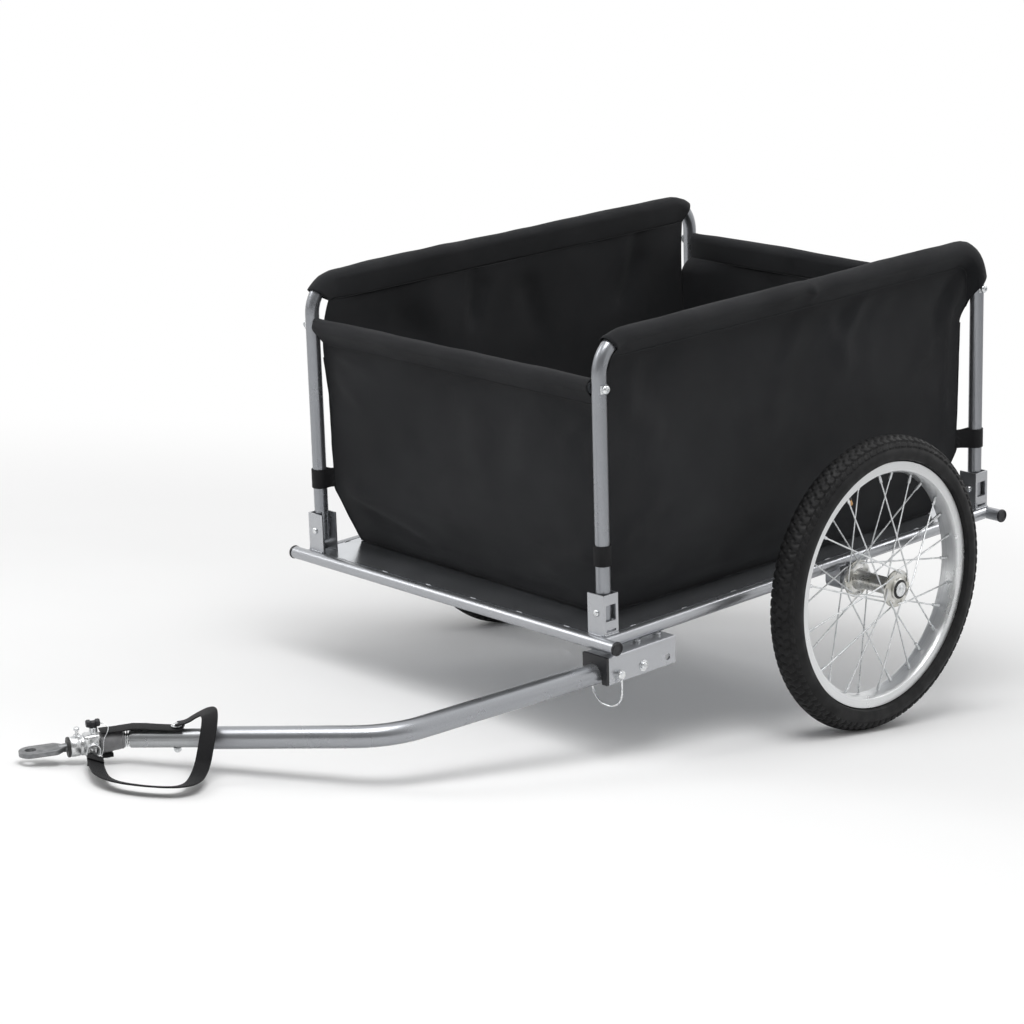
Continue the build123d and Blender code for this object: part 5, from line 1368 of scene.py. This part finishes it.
strap_line = [vertex.co.copy() for vertex in bpy.data.meshes.new_from_object(guide).vertices]
bpy.data.objects.remove(guide)

strap = bmesh.new()
first_way = strap_line[1] - strap_line[0]
width, run = swept(strap, strap_line, strap_outline, up=bar_step.cross(UP).cross(first_way))
unparked = PARKED.inverted()
strap.transform(unparked)
strap_piece = finished("strap_webbing", strap, webbing, stands_for=["safety_strap"],
                       crease=70)

# the strap's end is narrowed, folded round the ring's wire and sewn back on itself
strap_end, strap_before = unparked @ strap_line[-1], unparked @ strap_line[-6]
onwards = (strap_end - strap_before).normalized()
wire = on_coupling(0.0454, 0.0107, -0.0120)
fold_line = [strap_end - onwards * 0.012 + UP * 0.0022, strap_end + UP * 0.0024,
             wire + aside * 0.0045 + UP * 0.0030, wire + UP * 0.0028, wire - aside * 0.0024,
             wire - UP * 0.0028, wire + aside * 0.0045 - UP * 0.0026,
             strap_end - UP * 0.0022, strap_end - onwards * 0.012 - UP * 0.0022]
end_fold = bmesh.new()
swept(end_fold, fold_line, strap_outline, up=(unparked.to_3x3() @ width).cross(onwards),
      scales=(0.96, 0.90, 0.50, 0.42, 0.42, 0.42, 0.50, 0.90, 0.96))
finished("strap_end_fold", end_fold, webbing, crease=70)

# a short tail of the tongue is riveted up under the boot
tail = bmesh.new()
block_on_coupling(tail, 0.0225, 0.012, 0.013, 0.0050, 0.0014, lift=-0.0146)
finished("tongue_tail", tail, webbing, crease=50)
rivet = bmesh.new()
round_head(rivet, on_coupling(0.0280, 0, -0.0170), -UP, 0.0072, 0.0026, slot=False)
finished("tail_rivet", rivet, zinc, crease=40)

# a wire keeps the knob to its pin: how far behind the pin, out to its left and up it goes
keeper_points = ((0.0070, 0.0010, 0.0240), (0.0125, 0.0035, 0.0235), (0.0165, 0.0075, 0.0200),
                 (0.0140, 0.0110, 0.0150), (0.0090, 0.0118, 0.0080), (0.0080, 0.0118, -0.0030),
                 (0.0060, 0.0118, -0.0110), (0.0010, 0.0112, -0.0150))
keeper_line = [on_coupling(KNOB_AT - behind, out, rise) for behind, out, rise in keeper_points]
eased = []
for before, knot, after in zip(keeper_line, keeper_line[1:], keeper_line[2:]):
    start, end = (before + knot) / 2, (knot + after) / 2
    for k in range(6):
        t = k / 6
        eased.append(start * (1 - t) ** 2 + knot * 2 * t * (1 - t) + end * t ** 2)
keeper = bmesh.new()
swept(keeper, [keeper_line[0]] + eased + [keeper_line[-1]], circle(0.00055, 8))
finished("keeper_wire", keeper, zinc, crease=180)


# ---- floor, light and camera ---------------------------------------------------
# The trailer stands on a wide pale studio floor in a white room, under a large soft
# lamp overhead, one at its front and right and one behind it. The camera stands at
# its front and left and looks down on it a little.

FLOOR_REACH = 40
floor_paint = new_finish("pale_floor", (0.90, 0.90, 0.90), 0.9)
tint(floor_paint, grain(floor_paint, 3, 2), (0.895, 0.895, 0.895), (0.905, 0.905, 0.905))
# away from the trailer the camera sees the floor run out into the white room
away = node_in(floor_paint, "ShaderNodeVectorMath", {0: place_in(floor_paint, "Object")}, operation="LENGTH")
runs_out = node_in(floor_paint, "ShaderNodeMapRange",
                   {"Value": away.outputs["Value"], "From Min": 0.75, "From Max": 2.2},
                   interpolation_type="SMOOTHSTEP")
ray = node_in(floor_paint, "ShaderNodeLightPath", {})
looked_at = node_in(floor_paint, "ShaderNodeMath",
                    {0: runs_out.outputs["Result"], 1: ray.outputs["Is Camera Ray"]}, operation="MULTIPLY")
painted = floor_paint.node_tree.nodes["Principled BSDF"]
white = node_in(floor_paint, "ShaderNodeEmission", {})
blend = node_in(floor_paint, "ShaderNodeMixShader",
                {"Fac": looked_at.outputs["Value"], 1: painted.outputs["BSDF"],
                 2: white.outputs["Emission"]})
feed(floor_paint, floor_paint.node_tree.nodes["Material Output"], {"Surface": blend.outputs["Shader"]})
floor_mesh = bpy.data.meshes.new("studio_floor")
floor_mesh.from_pydata([(x, y, 0) for x, y in ((-1, -1), (1, -1), (1, 1), (-1, 1))], [], [(0, 1, 2, 3)])
floor_mesh.transform(Matrix.Scale(FLOOR_REACH, 4))
floor_mesh.materials.append(floor_paint)
studio_floor = bpy.data.objects.new("studio_floor", floor_mesh)
bpy.context.scene.collection.objects.link(studio_floor)

room = bpy.data.worlds.new("white_room")
bpy.context.scene.world = room
room.use_nodes = True
# rays that see the room directly, and those that see it in something shiny
ray = node_in(room, "ShaderNodeLightPath", {})
seen = node_in(room, "ShaderNodeMath",
               {0: ray.outputs["Is Camera Ray"], 1: ray.outputs["Is Transmission Ray"]}, operation="MAXIMUM")
seen_or_shiny = node_in(room, "ShaderNodeMath",
                        {0: seen.outputs["Value"], 1: ray.outputs["Is Glossy Ray"]}, operation="MAXIMUM")
# the side of the room at the trailer's front and left is dim, and rounded metal shows
# that as a darker band
across = node_in(room, "ShaderNodeVectorMath", {0: place_in(room, "Generated"), 1: (0.69, -0.72, 0.0)},
                 operation="DOT_PRODUCT")
dim = node_in(room, "ShaderNodeMapRange",
              {"Value": across.outputs["Value"], "From Min": 0.25, "From Max": 0.90, "To Min": 1.0,
               "To Max": 0.25}, interpolation_type="SMOOTHSTEP")
mirrored = node_in(room, "ShaderNodeMapRange",
                   {"Value": seen_or_shiny.outputs["Value"], "To Min": 0.50,
                    "To Max": dim.outputs["Result"]})
strength = node_in(room, "ShaderNodeMath",
                   {0: mirrored.outputs["Result"], 1: seen.outputs["Value"]}, operation="MAXIMUM")
feed(room, room.node_tree.nodes["Background"],
     {"Color": (1, 1, 1, 1), "Strength": strength.outputs["Value"]})


def soft_lamp(name, place, size, power):
    """A square lamp that points at the middle of the trailer."""
    lamp = bpy.data.lights.new(name, "AREA")
    lamp.size = size
    lamp.energy = power
    holder = bpy.data.objects.new(name, lamp)
    holder.location = place
    holder.rotation_euler = (Vector((0, 0, 0.2)) - Vector(place)).to_track_quat("-Z", "Y").to_euler()
    bpy.context.scene.collection.objects.link(holder)


soft_lamp("overhead_lamp", (0.7, -0.9, 2.9), 1.8, 54)
soft_lamp("side_lamp", (-2.2, -1.9, 2.3), 1.3, 20)
soft_lamp("rear_lamp", (0.4, 2.6, 2.6), 1.2, 18)

CAMERA_PLACE = (2.73928, -2.88761, 1.20253)
AZIMUTH, ELEVATION, ROLL = math.radians(46.84), math.radians(16.34), math.radians(-1.7047)
camera = bpy.data.objects.new("camera", bpy.data.cameras.new("camera"))
bpy.context.scene.collection.objects.link(camera)
camera.data.sensor_width = 36
camera.data.lens = 109.502
camera.matrix_world = (PARKED @ Matrix.Translation(CAMERA_PLACE) @ Matrix.Rotation(AZIMUTH, 4, "Z")
                       @ Matrix.Rotation(math.pi / 2 - ELEVATION, 4, "X") @ Matrix.Rotation(ROLL, 4, "Z"))
bpy.context.scene.camera = camera
bpy.context.scene.view_settings.view_transform = "Standard"
